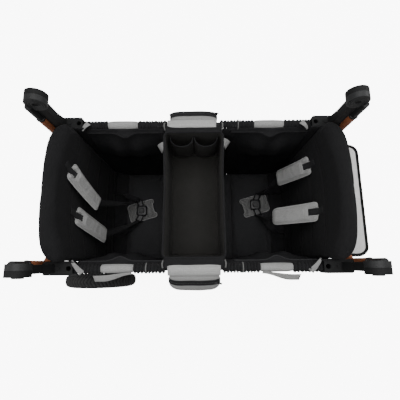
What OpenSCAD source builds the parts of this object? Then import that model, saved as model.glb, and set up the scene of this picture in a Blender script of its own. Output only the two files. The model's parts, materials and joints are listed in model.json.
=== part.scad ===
// Folding stroller wagon: two facing padded seats, a console hung across the middle,
// a swinging handle at each end, large rear wheels and swivelling front wheels.
// Millimetres. +X points to the front, +Y to the left, +Z up; the ground is at zero.

/* [Overall] */
// Half the width of the seat back
seat_half_w = 219; // [205:1:226]
// Space between the seat back and the side walls
floor_side_gap = 3; // [2:0.5:6]
// Space between the side walls and the rail brackets
rail_side_gap = 6; // [5.5:0.5:12]
// Height of the side rails' centre line above the ground
rail_z = 665; // [655:1:690]
// Distance of each end frame from the middle
post_x = 483; // [478:1:490]
// Height of the seat floor inside the box
floor_z = 195; // [192:1:200]

/* [Fold] */
// Distance of the end hinges from the middle
end_pivot_x = 390; // [386:1:393]
// Distance of the inner hinges from the middle
mid_pivot_x = 140; // [132:1:146]
// Height of the floor hinges above the ground
floor_pivot_z = 160; // [157:1:162]
// Distance of the floor side tubes outside the walls
floor_tube_out = 15; // [13.5:0.5:16]
// Angle that each rail swings through when the wagon is folded
fold_angle = 66; // [56:1:68]
// Space left past the tubes where they swing at a hinge
knuckle_clear = 6; // [5:0.5:7]

/* [Tubes] */
// Outside diameter of the side rails
rail_d = 20; // [19:1:21]
// Outside diameter of the corner posts
post_d = 25; // [22:1:26]
// Outside diameter of the cross tubes
cross_d = 18; // [17:1:20]
// Outside diameter of the tube round the rear axle
axle_tube_d = 29; // [28:0.5:34]
// Outside diameter of the floor side tubes
floor_tube_d = 16; // [14:1:18]
// Outside diameter of the seat hoop
hoop_d = 14; // [12:1:15]
// How far a welded knuckle stands out round a bent tube
weld_h = 1.5; // [1:0.5:2]
// Height of the cross tube behind each seat
cross_z = 420; // [400:1:440]
// Thickness of the floor boards
board_t = 10; // [8:0.5:11]
// Spacing between one floor board and the next over a hinge
board_gap = 6; // [4:1:12]

/* [Hinges] */
// Diameter of every hinge pin of the fold
pin_d = 8; // [6:0.5:9]
// Running clearance round a pin
pin_gap = 0.08; // [0.05:0.01:0.2]
// Thickness of the tongue in each hinge
tongue_t = 8; // [6:0.5:9]
// Thickness of each ear of a hinge fork
ear_t = 6; // [5:0.5:7]
// Side clearance between a tongue and an ear
side_gap = 0.4; // [0.2:0.05:0.6]
// Clearance between pieces that are pushed together
fit_gap = 0.2; // [0.1:0.05:0.3]
// Clearance under a soft piece
soft_gap = 0.4; // [0.3:0.05:0.6]

/* [Rail covers] */
// Thickness of the cloth of the gathered sleeves
sleeve_t = 1.1; // [0.8:0.1:2]
// Depth of each gather
gather_h = 2.5; // [2:0.5:3.5]
// Length of one gather along the rail
gather_l = 9; // [7:0.5:12]
// Length of the padded rail cover
rail_pad_l = 106; // [95:1:120]
// Thickness of the padded rail cover
rail_pad_t = 5.6; // [4.5:0.1:8]
// Rounding of the ends of the padded rail cover
rail_pad_r = 4; // [3:0.5:4.5]
// Length of rail left bare beside each hinge
bare_l = 12; // [10:1:18]

/* [Rail brackets] */
// Width of the bracket that joins rail and post
bracket_w = 44; // [40:1:48]
// Height of the bracket
bracket_h = 46; // [42:1:50]
// Rounding of the bracket's corners
bracket_r = 8; // [5:0.5:10]
// Length of bracket behind the post
bracket_back = 15.5; // [15:0.5:20]
// Diameter of the canopy pole socket
socket_d = 16; // [12:0.5:18]
// Depth of the canopy pole socket
socket_depth = 38; // [30:1:40]
// Wall between the socket and the hinge end of the bracket
socket_wall = 5; // [4:0.5:8]
// Diameter of the rivet caps
rivet_d = 13; // [10:0.5:14]
// Height of the rivet caps
rivet_h = 2.5; // [1.5:0.5:3]

/* [Handles] */
// Height of the handle hubs above the ground
hub_z = 835; // [825:1:850]
// Diameter of the handle hubs
hub_d = 66; // [62:1:70]
// Thickness of each half of a hub
hub_half_w = 17.5; // [16:0.5:19]
// Distance of the joint between the halves outside the rail's centre line
hub_shift = 1.5; // [1:0.5:3]
// Gap between the two halves of a hub
hub_gap = 0.5; // [0.3:0.1:1]
// Width of the arm below the hub
arm_w = 30; // [26:1:32]
// Thickness of the arm across the wagon
arm_t = 26; // [22:1:28]
// Width of the arm where it meets the bracket
arm_foot_w = 46; // [40:1:48]
// Length of post held in the arm
arm_grip_l = 50; // [40:1:60]
// Diameter of the pivot stub in each hub
stub_d = 16; // [14:1:20]
// Diameter of the release button
button_d = 30; // [26:1:34]
// Thickness of the release button
button_t = 10; // [9:0.5:12]
// Travel of the release button
button_travel = 4; // [3:0.5:5]
// Space between the grip and the bracket
handle_clear = 1.5; // [1:0.25:4]
// Distance of the grip bar below the hub centre
handle_drop = 220; // [205:1:235]
// Distance of the handle's legs inside the rail's centre line
handle_in = 12; // [11:0.5:14]
// Radius of the handle's two bends
handle_bend_r = 42; // [36:1:50]
// Diameter of the handle tube
bar_d = 19; // [17:0.5:20]
// Diameter of the wrapped grip
grip_d = 28; // [25:0.5:29]
// Diameter of the handle's sockets
lug_d = 25; // [23:0.5:26]
// Height of the handle's sockets
lug_h = 70; // [62:1:78]
// Distance of the sockets' tops below the hub centre
lug_drop = 15; // [12:1:18]
// Length of the neck between a socket and its hub
neck_h = 37; // [34:1:42]

/* [Rear wheels] */
// Diameter of the rear wheels
rear_wheel_d = 330; // [318:1:336]
// Width of the rear tyres
rear_tyre_w = 58; // [50:1:62]
// Distance of each rear wheel's middle outside the side rail
rear_wheel_out = 67; // [63:1:75]
// Height of the rear tyre's wall
rear_tyre_h = 38; // [34:1:42]
// Diameter of the rear axle
axle_d = 12; // [10:0.5:13]
// Diameter of the axle nuts
nut_d = 24; // [20:1:26]
// Thickness of the axle nuts
nut_t = 8; // [6:0.5:10]
// Outside radius of the slotted brake ring
brake_ring_r = 60; // [56:1:66]
// Wall of the slotted brake ring
brake_ring_t = 9; // [7:0.5:10]
// Number of slots in the brake ring
brake_slots = 20; // [20:4:24]
// Diameter of the brake pins
brake_pin_d = 7; // [6:0.5:8]
// Space between a released brake pin and its ring
brake_clear = 2; // [1.5:0.25:3]
// Angle that the brake pedal swings through
brake_angle = 14; // [12:1:16]
// Depth that a brake pin swings into its slot
brake_travel = 9; // [8:0.25:9.5]
// Diameter of the pedal's pivot bar
brake_bar_d = 12; // [10:0.5:14]
// Length of the pedal behind its pivot
pedal_l = 82; // [70:1:84]
// Width of the pedal across the wagon
pedal_w = 120; // [90:1:150]
// Thickness of the pedal
pedal_t = 12; // [9:0.5:14]

/* [Front wheels] */
// Diameter of the front wheels
front_wheel_d = 210; // [200:1:216]
// Width of the front tyres
front_tyre_w = 46; // [40:1:50]
// Height of the front tyre's wall
front_tyre_h = 26; // [22:1:30]
// Distance the front wheels trail behind their swivels
caster_trail = 30; // [25:1:34]
// Distance of each swivel inside the side rail
caster_in = 10; // [4:1:12]
// Diameter of the swivel stem
stem_d = 16; // [14:0.5:20]
// Diameter of the fork crown and of its housing
crown_d = 54; // [50:1:60]
// Thickness of the fork crown
crown_t = 14; // [12:1:16]
// Space between the tyre and the crown
crown_clear = 10; // [8:1:14]
// Thickness of each fork leg
leg_t = 7; // [6:0.5:9]
// Width of each fork leg at the axle
leg_w = 30; // [26:1:36]
// Space between a tyre and a fork leg
leg_clear = 3; // [2:0.5:5]
// Height of the swivel housing
housing_h = 52; // [46:1:60]
// Diameter of the front wheel's axle
front_axle_d = 10; // [8:0.5:12]
// Width of the swivel lock tab
lock_w = 12; // [10:0.5:14]
// Thickness of the swivel lock tab
lock_t = 6; // [5:0.5:7]
// Travel of the swivel lock tab
lock_travel = 8; // [6:0.5:10]
// Distance of the knee in the front floor arms from the hinge
knee_l = 36; // [32:1:40]

/* [Wheel rims] */
// Thickness of the rim barrel
rim_t = 7; // [6:0.5:9]
// Diameter of the wheel hub
wheel_hub_d = 46; // [42:1:50]
// Width of a spoke where it meets the hub
spoke_w = 22; // [18:1:26]
// Thickness of the spokes along the axle
spoke_t = 14; // [10:1:18]
// Number of spokes in each wheel
spokes = 6; // [5:1:8]
// Depth of the tread grooves
groove_h = 3; // [2:0.5:4]
// Width of the tread grooves
groove_w = 4; // [3:0.5:5]

/* [Seats] */
// Distance of the seat back's foot from the middle
seat_low_x = 410; // [409:1:414]
// Distance of the seat back's top from the middle, at its centre
seat_top_x = 457; // [450:1:462]
// Distance of the seat back's top corners from the middle
seat_corner_x = 422; // [416:1:428]
// Height of the seat back's foot
seat_low_z = 222; // [220:1:232]
// Height of the seat back's top
seat_top_z = 742; // [730:1:750]
// Thickness of the seat back at its crown
seat_t = 24; // [20:1:25]
// Thickness of the seat back at its edge
seat_edge_t = 12; // [9:0.5:13]
// Number of cross channels sewn in the seat back
seat_channels = 4; // [2:1:6]
// Depth of the sewn channels
channel_h = 4; // [2:0.5:5]
// Thickness of the floor pads at their edge
floor_pad_edge_t = 12; // [9:0.5:14]
// Distance of a floor pad from the edge of its board
floor_pad_inset = 5; // [4:0.5:9]

/* [Harness] */
// Width of a shoulder pad
pad_w = 70; // [56:1:74]
// Thickness of a shoulder pad
pad_t = 18; // [12:0.5:20]
// Side places of the tops of the rear shoulder pads, left then right
rear_pad_top_y = [85, -63]; // [-140:1:140]
// Heights of the tops of the rear shoulder pads
rear_pad_top_z = [673, 612]; // [560:1:690]
// Side places of the lower ends of the rear shoulder pads
rear_pad_low_y = [-9, -124]; // [-140:1:140]
// Heights of the lower ends of the rear shoulder pads
rear_pad_low_z = [520, 446]; // [400:1:540]
// Distances of those lower ends from the seat back
rear_pad_lean = [38, 35]; // [0:1:120]
// Side places of the tops of the front shoulder pads, left then right
front_pad_top_y = [129, -55]; // [-140:1:140]
// Heights of the tops of the front shoulder pads
front_pad_top_z = [578, 598]; // [560:1:690]
// Side places of the lower ends of the front shoulder pads
front_pad_low_y = [124, -54]; // [-140:1:140]
// Heights of the lower ends of the front shoulder pads
front_pad_low_z = [410, 466]; // [400:1:540]
// Distances of those lower ends from the seat back
front_pad_lean = [68, 118]; // [0:1:120]
// Distance of each buckle from the middle
buckle_x = 285; // [262:1:288]
// Side place of the rear buckle
rear_buckle_y = 22; // [-60:1:60]
// Side place of the front buckle
front_buckle_y = 48; // [-60:1:60]
// Width of the harness webbing
webbing_w = 30; // [24:1:38]
// Thickness of the harness webbing
webbing_t = 3; // [2:0.5:4]
// Length of the crotch pad
crotch_l = 135; // [100:1:140]
// Width of the crotch pad
crotch_w = 94; // [70:1:96]
// Angle of each crotch pad on its seat
crotch_turn = 16; // [0:1:20]
// Thickness of the crotch pad
crotch_t = 11; // [9:0.5:12]
// Side of the buckle
buckle_l = 52; // [44:1:56]
// Thickness of the buckle
buckle_t = 16; // [15:0.5:17]
// Diameter of the buckle's button
buckle_button_d = 24; // [20:1:28]
// Thickness of the buckle's button
buckle_button_t = 7; // [6:0.5:8]
// Travel of the buckle's button
buckle_travel = 3; // [2:0.5:3.5]

/* [Side walls] */
// Thickness of the cloth walls
cloth_t = 3; // [2:0.5:4]
// Depth of the belly in each wall
wall_belly = 22; // [10:1:30]
// Depth of the hanging folds in each wall
fold_h = 5; // [2:0.5:8]
// Number of hanging folds in each bay
bay_folds = 3; // [2:1:5]
// Length of wall behind the seat back's foot
wall_past = 20; // [12:1:28]
// Space between the cloth and the rail covers
wall_clear = 2; // [1:0.5:4]

/* [Console] */
// Place of the console along the wagon
console_x = -14; // [-18:1:18]
// Length of the console bin
console_l = 213; // [190:1:216]
// Depth of the console bin
console_h = 205; // [150:1:230]
// Thickness of the console's walls
console_t = 4; // [3:0.5:5]
// Rounding of the console bin's corners
console_r = 18; // [10:1:24]
// Rise of the console's rim above the rail's centre
console_rise = 8; // [4:1:14]
// Length of the flaps and outer pockets
pocket_l = 185; // [150:1:188]
// Thickness of the outer pockets
pocket_t = 68; // [40:1:72]
// Height of the outer pockets
pocket_h = 150; // [110:1:160]
// Rounding of the outer pockets
pocket_r = 22; // [14:1:26]

/* [Front bag] */
// Space between the bag's side and the seat back's side
bag_side_gap = 12; // [8:1:30]
// Height of the bag
bag_h = 235; // [180:1:240]
// Height of the bag's top
bag_top_z = 572; // [560:1:576]
// Distance of the bag's outer face from the middle
bag_out_x = 626; // [600:1:632]
// Rounding of the bag's corners
bag_r = 30; // [20:1:36]
// Thickness of the bag's lid
bag_lid_t = 6; // [4:0.5:8]
// Overhang of the bag's lid
bag_lid_over = 3; // [2:0.5:4]

/* [Fold strap] */
// Radius of the pull strap on the middle floor
strap_r = 45; // [36:1:52]
// Width of the pull strap
strap_w = 32; // [26:1:40]
// Thickness of the pull strap
strap_t = 4; // [3:0.5:5]

/* [Part shown] */
// The piece to draw, or all of them

/* [Hidden] */
$fn = 48;
overrun = 1;

frame_black = [0.10, 0.10, 0.11];
plastic_black = [0.16, 0.16, 0.17];
cloth_black = [0.07, 0.07, 0.08];
cloth_grey = [0.60, 0.60, 0.61];
leather_brown = [0.36, 0.19, 0.10];
tyre_black = [0.05, 0.05, 0.05];
rim_grey = [0.22, 0.22, 0.23];
steel_grey = [0.55, 0.56, 0.58];

floor_half_w = seat_half_w + floor_side_gap;
rail_y = floor_half_w + rail_side_gap + bracket_w / 2;
floor_tube_y = floor_half_w + floor_tube_out;
handle_y = rail_y - handle_in;
handle_reach = bracket_back + grip_d / 2 + handle_clear;
rear_wheel_y = rail_y + rear_wheel_out;
caster_y = rail_y - caster_in;
bag_w = 2 * (seat_half_w - bag_side_gap);
sleeve_d = rail_d + 2 * (soft_gap + sleeve_t + gather_h);
rail_pad_d = rail_d + 2 * (soft_gap + rail_pad_t);
knuckle_gap = ceil(rail_d / 2 * tan(fold_angle / 2) + knuckle_clear);
fork_reach = knuckle_gap + rail_d / 2;
ear_y = tongue_t / 2 + side_gap;
rear_axle_z = rear_wheel_d / 2;
front_axle_z = front_wheel_d / 2;
caster_x = post_x + rear_wheel_d / 2 + caster_trail - front_wheel_d / 2;
crown_z = front_wheel_d + crown_clear;
housing_z = crown_z + crown_t + side_gap;
board_top = floor_pivot_z + floor_tube_d / 2 - board_t / 3 + board_t;
floor_pad_t = floor_z - board_top - soft_gap;
bracket_top = rail_z + bracket_h / 2;
arm_y = rail_y;
hub_split_y = rail_y + hub_shift;
socket_x = end_pivot_x + knuckle_gap + socket_wall + socket_d / 2;
hoop_z = seat_top_z - hoop_d;
post_top = bracket_top + arm_grip_l;
rail_pad_x = (end_pivot_x + mid_pivot_x) / 2;
wall_low_y = floor_half_w + soft_gap;
wall_top_y = rail_y - bracket_w / 2 - cloth_t - wall_clear;
wall_top_z = rail_z - sleeve_d / 2 - wall_clear;
seat_wall_x = seat_low_x - floor_pad_inset;

function mix(a, b, t) = a + (b - a) * t;
// Place on the seat back's face at a height and a side place, for the front seat; lift goes inwards
function seat_share(z) = (z - seat_low_z) / (seat_top_z - seat_low_z);
function seat_bow(y, z) =
  mix(seat_low_x, mix(seat_top_x, seat_corner_x, pow(y / seat_half_w, 2)), seat_share(z));
function seat_edge(y, z) =
  (1 - pow(abs(y) / seat_half_w, 4)) * (1 - pow(abs(2 * seat_share(z) - 1), 6));
function seat_channel(z) =
  pow(abs(cos(180 * (seat_channels + 1) * seat_share(z))), 6);
function seat_pad(y, z) =
  mix(seat_edge_t, seat_t, seat_edge(y, z)) - channel_h * seat_channel(z) * seat_edge(y, z);
function seat_face(y, z, lift) = [seat_bow(y, z) + seat_t - seat_pad(y, z) - lift, y, z];
function seat_back_x(y, z) = seat_bow(y, z) + seat_t;
// Height of a floor pad's top at a side place and a share of its length
function floor_pad_top(y, t) =
  board_top + soft_gap + mix(floor_pad_edge_t, floor_pad_t,
    (1 - pow(abs(y) / floor_half_w, 4)) * (1 - pow(abs(2 * t - 1), 4)));
cross_x = post_x - cross_d / 4;
hoop_off = soft_gap + weld_h + hoop_d / 2;
hoop_mid_x = seat_back_x(0, hoop_z) + hoop_off;
hoop_y = seat_half_w - hoop_d;
hoop_end_x = seat_back_x(hoop_y, hoop_z) + hoop_off;
hoop_sag = hoop_mid_x - hoop_end_x;
hoop_r = (pow(hoop_y, 2) + pow(hoop_sag, 2)) / (2 * hoop_sag);
brake_arm_l = brake_travel / sin(brake_angle);
brake_pin_at = brake_ring_r + brake_clear + brake_pin_d / 2;
brake_pivot = [-(brake_pin_at + brake_arm_l) * sin(45), (brake_arm_l - brake_pin_at) * sin(45)];

// Mirrored copies and ends of the wagon
module both_sides() {
  children();
  mirror([0, 1, 0]) children();
}
module at_rear() {
  mirror([1, 0, 0]) children();
}
module to_side(side) {
  mirror([0, side > 0 ? 0 : 1, 0]) children();
}

// Small shapes shared by the pieces
module rod(p, q, d) {
  run = q - p;
  translate(p)
    rotate([0, acos(run.z / norm(run)), atan2(run.y, run.x)])
      cylinder(h = norm(run), d = d);
}
module y_disc(d, h) {
  rotate([90, 0, 0]) cylinder(d = d, h = h, center = true);
}
module round_rect(l, w, r) {
  square([l - 2 * r, w], center = true);
  square([l, w - 2 * r], center = true);
  for (i = [-1, 1], j = [-1, 1])
    translate([i * (l / 2 - r), j * (w / 2 - r)]) circle(r);
}
module hinge_fork(d, reach) {
  for (side = [-1, 1])
    translate([0, side * (ear_y + ear_t / 2), 0]) {
      y_disc(d, ear_t);
      translate([reach / 2, 0, 0]) cube([reach, ear_t, d], center = true);
    }
  y_disc(pin_d, 2 * (ear_y + ear_t));
}
module hinge_tongue(d, reach) {
  difference() {
    union() {
      y_disc(d, tongue_t);
      translate([reach / 2, 0, 0]) cube([reach, tongue_t, d], center = true);
    }
    y_disc(pin_d + 2 * pin_gap, 2 * tongue_t);
  }
}
// Closed soft solid between two grids of points, given as functions of two shares
module soft_solid(nu, nv, front, back) {
  grid_f = [for (j = [0 : nv], i = [0 : nu]) front(i / nu, j / nv)];
  grid_b = [for (j = [0 : nv], i = [0 : nu]) back(i / nu, j / nv)];
  row = nu + 1;
  n = len(grid_f);
  function at(i, j) = j * row + i;
  quads_f = [for (j = [0 : nv - 1], i = [0 : nu - 1])
    each [[at(i, j), at(i + 1, j + 1), at(i + 1, j)], [at(i, j), at(i, j + 1), at(i + 1, j + 1)]]];
  quads_b = [for (t = quads_f) [n + t[0], n + t[2], n + t[1]]];
  rim = concat(
    [for (i = [0 : nu - 1]) at(i, 0)], [for (j = [0 : nv - 1]) at(nu, j)],
    [for (i = [nu : -1 : 1]) at(i, nv)], [for (j = [nv : -1 : 1]) at(0, j)]);
  m = len(rim);
  edge = [for (k = [0 : m - 1])
    each [[rim[k], rim[(k + 1) % m], n + rim[k]],
          [rim[(k + 1) % m], n + rim[(k + 1) % m], n + rim[k]]]];
  polyhedron(points = concat(grid_f, grid_b), faces = concat(quads_f, quads_b, edge), convexity = 6);
}

// Side rails, from the front end hinge to the front inner hinge
module rail_segment() {
  both_sides() translate([0, rail_y, rail_z]) {
    rod([mid_pivot_x + knuckle_gap, 0, 0], [end_pivot_x - knuckle_gap, 0, 0], rail_d);
    translate([mid_pivot_x, 0, 0]) hinge_tongue(rail_d, fork_reach);
    translate([end_pivot_x, 0, 0]) mirror([1, 0, 0]) hinge_tongue(rail_d, fork_reach);
  }
}
module gathered(x0, x1) {
  count = floor((x1 - x0) / gather_l);
  step = (x1 - x0) / count;
  inner = rail_d / 2 + soft_gap;
  outer = sleeve_d / 2;
  steps = [for (i = [0 : count - 1])
    each [[outer - gather_h, x0 + i * step], [outer, x0 + (i + 0.5) * step]]];
  rotate([0, 90, 0])
    rotate_extrude()
      polygon(concat([[inner, x0]], steps, [[outer - gather_h, x1], [inner, x1]]));
}
module rail_sleeve_set() {
  low = mid_pivot_x + fork_reach + bare_l;
  high = end_pivot_x - fork_reach - bare_l;
  both_sides() translate([0, rail_y, rail_z]) {
    gathered(low, rail_pad_x - rail_pad_l / 2 - soft_gap);
    gathered(rail_pad_x + rail_pad_l / 2 + soft_gap, high);
  }
}
module rail_pad_set() {
  wall = rail_pad_t;
  both_sides() translate([rail_pad_x, rail_y, rail_z])
    rotate([0, 90, 0])
      rotate_extrude()
        translate([rail_pad_d / 2 - wall / 2, 0])
          difference() {
            square([wall, rail_pad_l], center = true);
            for (end = [-1, 1])
              translate([wall / 2 - rail_pad_r, end * (rail_pad_l / 2 - rail_pad_r)])
                difference() {
                  translate([0, end > 0 ? 0 : -2 * rail_pad_r]) square(2 * rail_pad_r);
                  circle(rail_pad_r);
                }
          }
}
module rear_rails() {
  color(frame_black) at_rear() rail_segment();
}
module front_rails() {
  color(frame_black) rail_segment();
}
module rear_rail_sleeves() {
  color(cloth_black) at_rear() rail_sleeve_set();
}
module front_rail_sleeves() {
  color(cloth_black) rail_sleeve_set();
}
module rear_rail_pads() {
  color(cloth_grey) at_rear() rail_pad_set();
}
module front_rail_pads() {
  color(cloth_grey) rail_pad_set();
}
module middle_rails() {
  color(frame_black) both_sides() translate([0, rail_y, rail_z]) {
    rod([knuckle_gap - mid_pivot_x, 0, 0], [mid_pivot_x - knuckle_gap, 0, 0], rail_d);
    translate([-mid_pivot_x, 0, 0]) hinge_fork(rail_d, fork_reach);
    translate([mid_pivot_x, 0, 0]) mirror([1, 0, 0]) hinge_fork(rail_d, fork_reach);
  }
}

// Floor boards on their side tubes
module board_plate(x0, x1) {
  translate([(x0 + x1) / 2, 0, board_top - board_t])
    linear_extrude(board_t)
      round_rect(x1 - x0, 2 * floor_tube_y, floor_pad_inset);
}
module end_floor() {
  both_sides() translate([0, floor_tube_y, floor_pivot_z]) {
    rod([mid_pivot_x + knuckle_gap, 0, 0], [end_pivot_x - knuckle_gap, 0, 0], floor_tube_d);
    translate([mid_pivot_x, 0, 0]) hinge_tongue(floor_tube_d, fork_reach);
    translate([end_pivot_x, 0, 0]) mirror([1, 0, 0]) hinge_tongue(floor_tube_d, fork_reach);
  }
  board_plate(mid_pivot_x + knuckle_gap + board_gap, end_pivot_x - knuckle_gap - board_gap);
}
module rear_floor_board() {
  color(plastic_black) at_rear() end_floor();
}
module front_floor_board() {
  color(plastic_black) end_floor();
}
module middle_floor_board() {
  color(plastic_black) {
    both_sides() translate([0, floor_tube_y, floor_pivot_z]) {
      rod([knuckle_gap - mid_pivot_x, 0, 0], [mid_pivot_x - knuckle_gap, 0, 0], floor_tube_d);
      translate([-mid_pivot_x, 0, 0]) hinge_fork(floor_tube_d, fork_reach);
      translate([mid_pivot_x, 0, 0]) mirror([1, 0, 0]) hinge_fork(floor_tube_d, fork_reach);
    }
    board_plate(knuckle_gap + board_gap - mid_pivot_x, mid_pivot_x - knuckle_gap - board_gap);
  }
}
// Crowned floor pad with drawn-in sides
module floor_pad(x0, x1) {
  half = floor_half_w - floor_pad_inset;
  soft_solid(8, 10,
    function(u, v) [mix(x0, x1, u), mix(-half, half, v), floor_pad_top(mix(-half, half, v), u)],
    function(u, v) [mix(x0, x1, mix(u, 0.5, 0.02)), mix(-half, half, mix(v, 0.5, 0.02)),
      board_top + soft_gap]);
}
module rear_floor_pad() {
  color(cloth_black) at_rear() floor_pad(pad_x0, pad_x1);
}
module front_floor_pad() {
  color(cloth_black) floor_pad(pad_x0, pad_x1);
}
pad_x0 = mid_pivot_x + knuckle_gap + board_gap + floor_pad_inset;
pad_x1 = end_pivot_x - knuckle_gap - board_gap - floor_pad_inset;
module middle_floor_pad() {
  half = mid_pivot_x - knuckle_gap - board_gap - floor_pad_inset;
  color(cloth_black) floor_pad(-half, half);
}
module fold_strap() {
  color(cloth_black)
    translate([0, 0, floor_z + soft_gap])
      rotate([90, 0, 0])
        translate([0, 0, -strap_w / 2]) {
          rotate_extrude(angle = 180)
            translate([strap_r - strap_t, 0]) square([strap_t, strap_w]);
        }
}

// Buckle and crotch pad on each seat floor
module seat_buckle(y, turn) {
  base = floor_pad_top(0, 0.5) + soft_gap;
  translate([buckle_x, y, base])
    rotate([0, 0, turn])
      linear_extrude(crotch_t) round_rect(crotch_l, crotch_w, crotch_w / 4);
  translate([buckle_x, y, base + crotch_t])
    difference() {
      linear_extrude(buckle_t) round_rect(buckle_l, buckle_l, buckle_l / 5);
      translate([0, 0, buckle_t - buckle_button_t - buckle_travel])
        cylinder(d = buckle_button_d + 2 * fit_gap, h = buckle_button_t + buckle_travel + overrun);
    }
}
module buckle_button(y) {
  top = floor_pad_top(0, 0.5) + soft_gap + crotch_t + buckle_t;
  translate([buckle_x, y, top + buckle_travel / 2 - buckle_button_t])
    cylinder(d = buckle_button_d, h = buckle_button_t);
}
module rear_buckle() {
  color(cloth_grey) at_rear() seat_buckle(rear_buckle_y, -crotch_turn);
}
module front_buckle() {
  color(cloth_grey) seat_buckle(front_buckle_y, crotch_turn);
}
module rear_buckle_button() {
  color(plastic_black) at_rear() buckle_button(rear_buckle_y);
}
module front_buckle_button() {
  color(plastic_black) buckle_button(front_buckle_y);
}

// Seat back, crowned, bowed outwards at the top and sewn in channels
module seat_back() {
  soft_solid(14, 22,
    function(u, v) seat_face(seat_half_w * (2 * u - 1), mix(seat_low_z, seat_top_z, v), 0),
    function(u, v) [seat_back_x(seat_half_w * (2 * u - 1), mix(seat_low_z, seat_top_z, v)),
      seat_half_w * (2 * u - 1), mix(seat_low_z, seat_top_z, v)]);
}
// Point over the seat back beside a line from low to top, at a share of its length and a side step
function harness_at(low, top, t, side, lift) =
  let(run = (top - low) / norm(top - low), at = low + (top - low) * t + [run.y, -run.x] * side)
  seat_face(at.x, at.y, lift);
module shoulder_pad(low, top, lean) {
  rest = 4 * soft_gap;
  soft_solid(6, 10,
    function(u, v) harness_at(low, top, v, pad_w * (u - 0.5), rest + lean * pow(1 - v, 1.2)
      + mix(pad_t / 2, pad_t, (1 - pow(2 * u - 1, 4)) * (1 - pow(2 * v - 1, 6)))),
    function(u, v) harness_at(low, top, v, pad_w * (u - 0.5), rest + lean * pow(1 - v, 1.2)));
}
module shoulder_pad_pair(low_y, low_z, top_y, top_z, lean) {
  for (i = [0, 1]) shoulder_pad([low_y[i], low_z[i]], [top_y[i], top_z[i]], lean[i]);
}
module webbing(low, top) {
  rest = 6 * soft_gap;
  soft_solid(2, 4,
    function(u, v) harness_at(low, top, v, webbing_w * (u - 0.5), rest + webbing_t),
    function(u, v) harness_at(low, top, v, webbing_w * (u - 0.5), rest));
}
module harness_web_set(low_y, low_z, top_y, top_z) {
  for (i = [0, 1]) {
    low = [low_y[i], low_z[i]];
    top = [top_y[i], top_z[i]];
    run = (top - low) / norm(top - low);
    webbing(top + run * soft_gap, top + run * (soft_gap + webbing_w));
  }
  waist_z = seat_low_z + 2 * webbing_w;
  both_sides() webbing([seat_half_w - webbing_w, waist_z], [crotch_w, waist_z]);
}
module rear_seat_back() {
  color(cloth_black) at_rear() seat_back();
}
module front_seat_back() {
  color(cloth_black) seat_back();
}
module rear_shoulder_pads() {
  color(cloth_grey) at_rear()
    shoulder_pad_pair(rear_pad_low_y, rear_pad_low_z, rear_pad_top_y, rear_pad_top_z, rear_pad_lean);
}
module front_shoulder_pads() {
  color(cloth_grey)
    shoulder_pad_pair(front_pad_low_y, front_pad_low_z, front_pad_top_y, front_pad_top_z, front_pad_lean);
}
module rear_harness_straps() {
  color(cloth_black) at_rear()
    harness_web_set(rear_pad_low_y, rear_pad_low_z, rear_pad_top_y, rear_pad_top_z);
}
module front_harness_straps() {
  color(cloth_black)
    harness_web_set(front_pad_low_y, front_pad_low_z, front_pad_top_y, front_pad_top_z);
}

// Hanging cloth walls, bellied inwards, with upright folds
wall_in_x = mid_pivot_x + board_gap;
wall_out_x = seat_low_x + seat_t + wall_past;
function bay_share(x) = min((x - wall_in_x) / (seat_wall_x - wall_in_x), 1);
function wall_sag(x, v) =
  sin(130 * v) * sin(180 * bay_share(x)) * (wall_belly + fold_h * cos(360 * bay_folds * bay_share(x)));
function wall_face(x, v, out) =
  [x, mix(wall_low_y, wall_top_y, v) - wall_sag(x, v) + out, mix(board_top + soft_gap, wall_top_z, v)];
module bay_walls() {
  both_sides()
    soft_solid(8 * bay_folds, 8,
      function(u, v) wall_face(mix(wall_in_x, wall_out_x, u), v, 0),
      function(u, v) wall_face(mix(wall_in_x, wall_out_x, u), v, cloth_t));
}
module rear_side_walls() {
  color(cloth_black) at_rear() bay_walls();
}
module front_side_walls() {
  color(cloth_black) bay_walls();
}
module middle_side_walls() {
  half = mid_pivot_x - board_gap;
  color(cloth_black) both_sides()
    soft_solid(2, 2,
      function(u, v) [mix(-half, half, u), mix(wall_low_y, wall_top_y, v),
        mix(board_top + soft_gap, wall_top_z, v)],
      function(u, v) [mix(-half, half, u), mix(wall_low_y, wall_top_y, v) + cloth_t,
        mix(board_top + soft_gap, wall_top_z, v)]);
}

// End frames: posts, cross tube, seat hoop and the arms that carry the floor hinges
module frame_uprights(low_z) {
  both_sides() {
    translate([post_x, rail_y, low_z]) cylinder(d = post_d, h = post_top - low_z);
    rod([hoop_end_x, hoop_y, hoop_z], [post_x, rail_y, rail_z - bracket_h], hoop_d);
    translate([hoop_end_x, hoop_y, hoop_z]) sphere(d = hoop_d + 2 * weld_h);
    translate([end_pivot_x, floor_tube_y, floor_pivot_z]) hinge_fork(floor_tube_d, fork_reach);
  }
  rod([cross_x, -rail_y, cross_z], [cross_x, rail_y, cross_z], cross_d);
  arc = asin(hoop_y / hoop_r);
  translate([hoop_mid_x - hoop_r, 0, hoop_z])
    rotate([0, 0, -arc])
      rotate_extrude(angle = 2 * arc, $fn = 240)
        translate([hoop_r, 0]) circle(d = hoop_d);
}
module brake_lug() {
  translate([0, pedal_w, 0]) {
    y_disc(2 * brake_bar_d, ear_t);
    rod([0, 0, 0], [-brake_pivot.x, 0, -brake_pivot.y], 1.5 * ear_t);
  }
}
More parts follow.
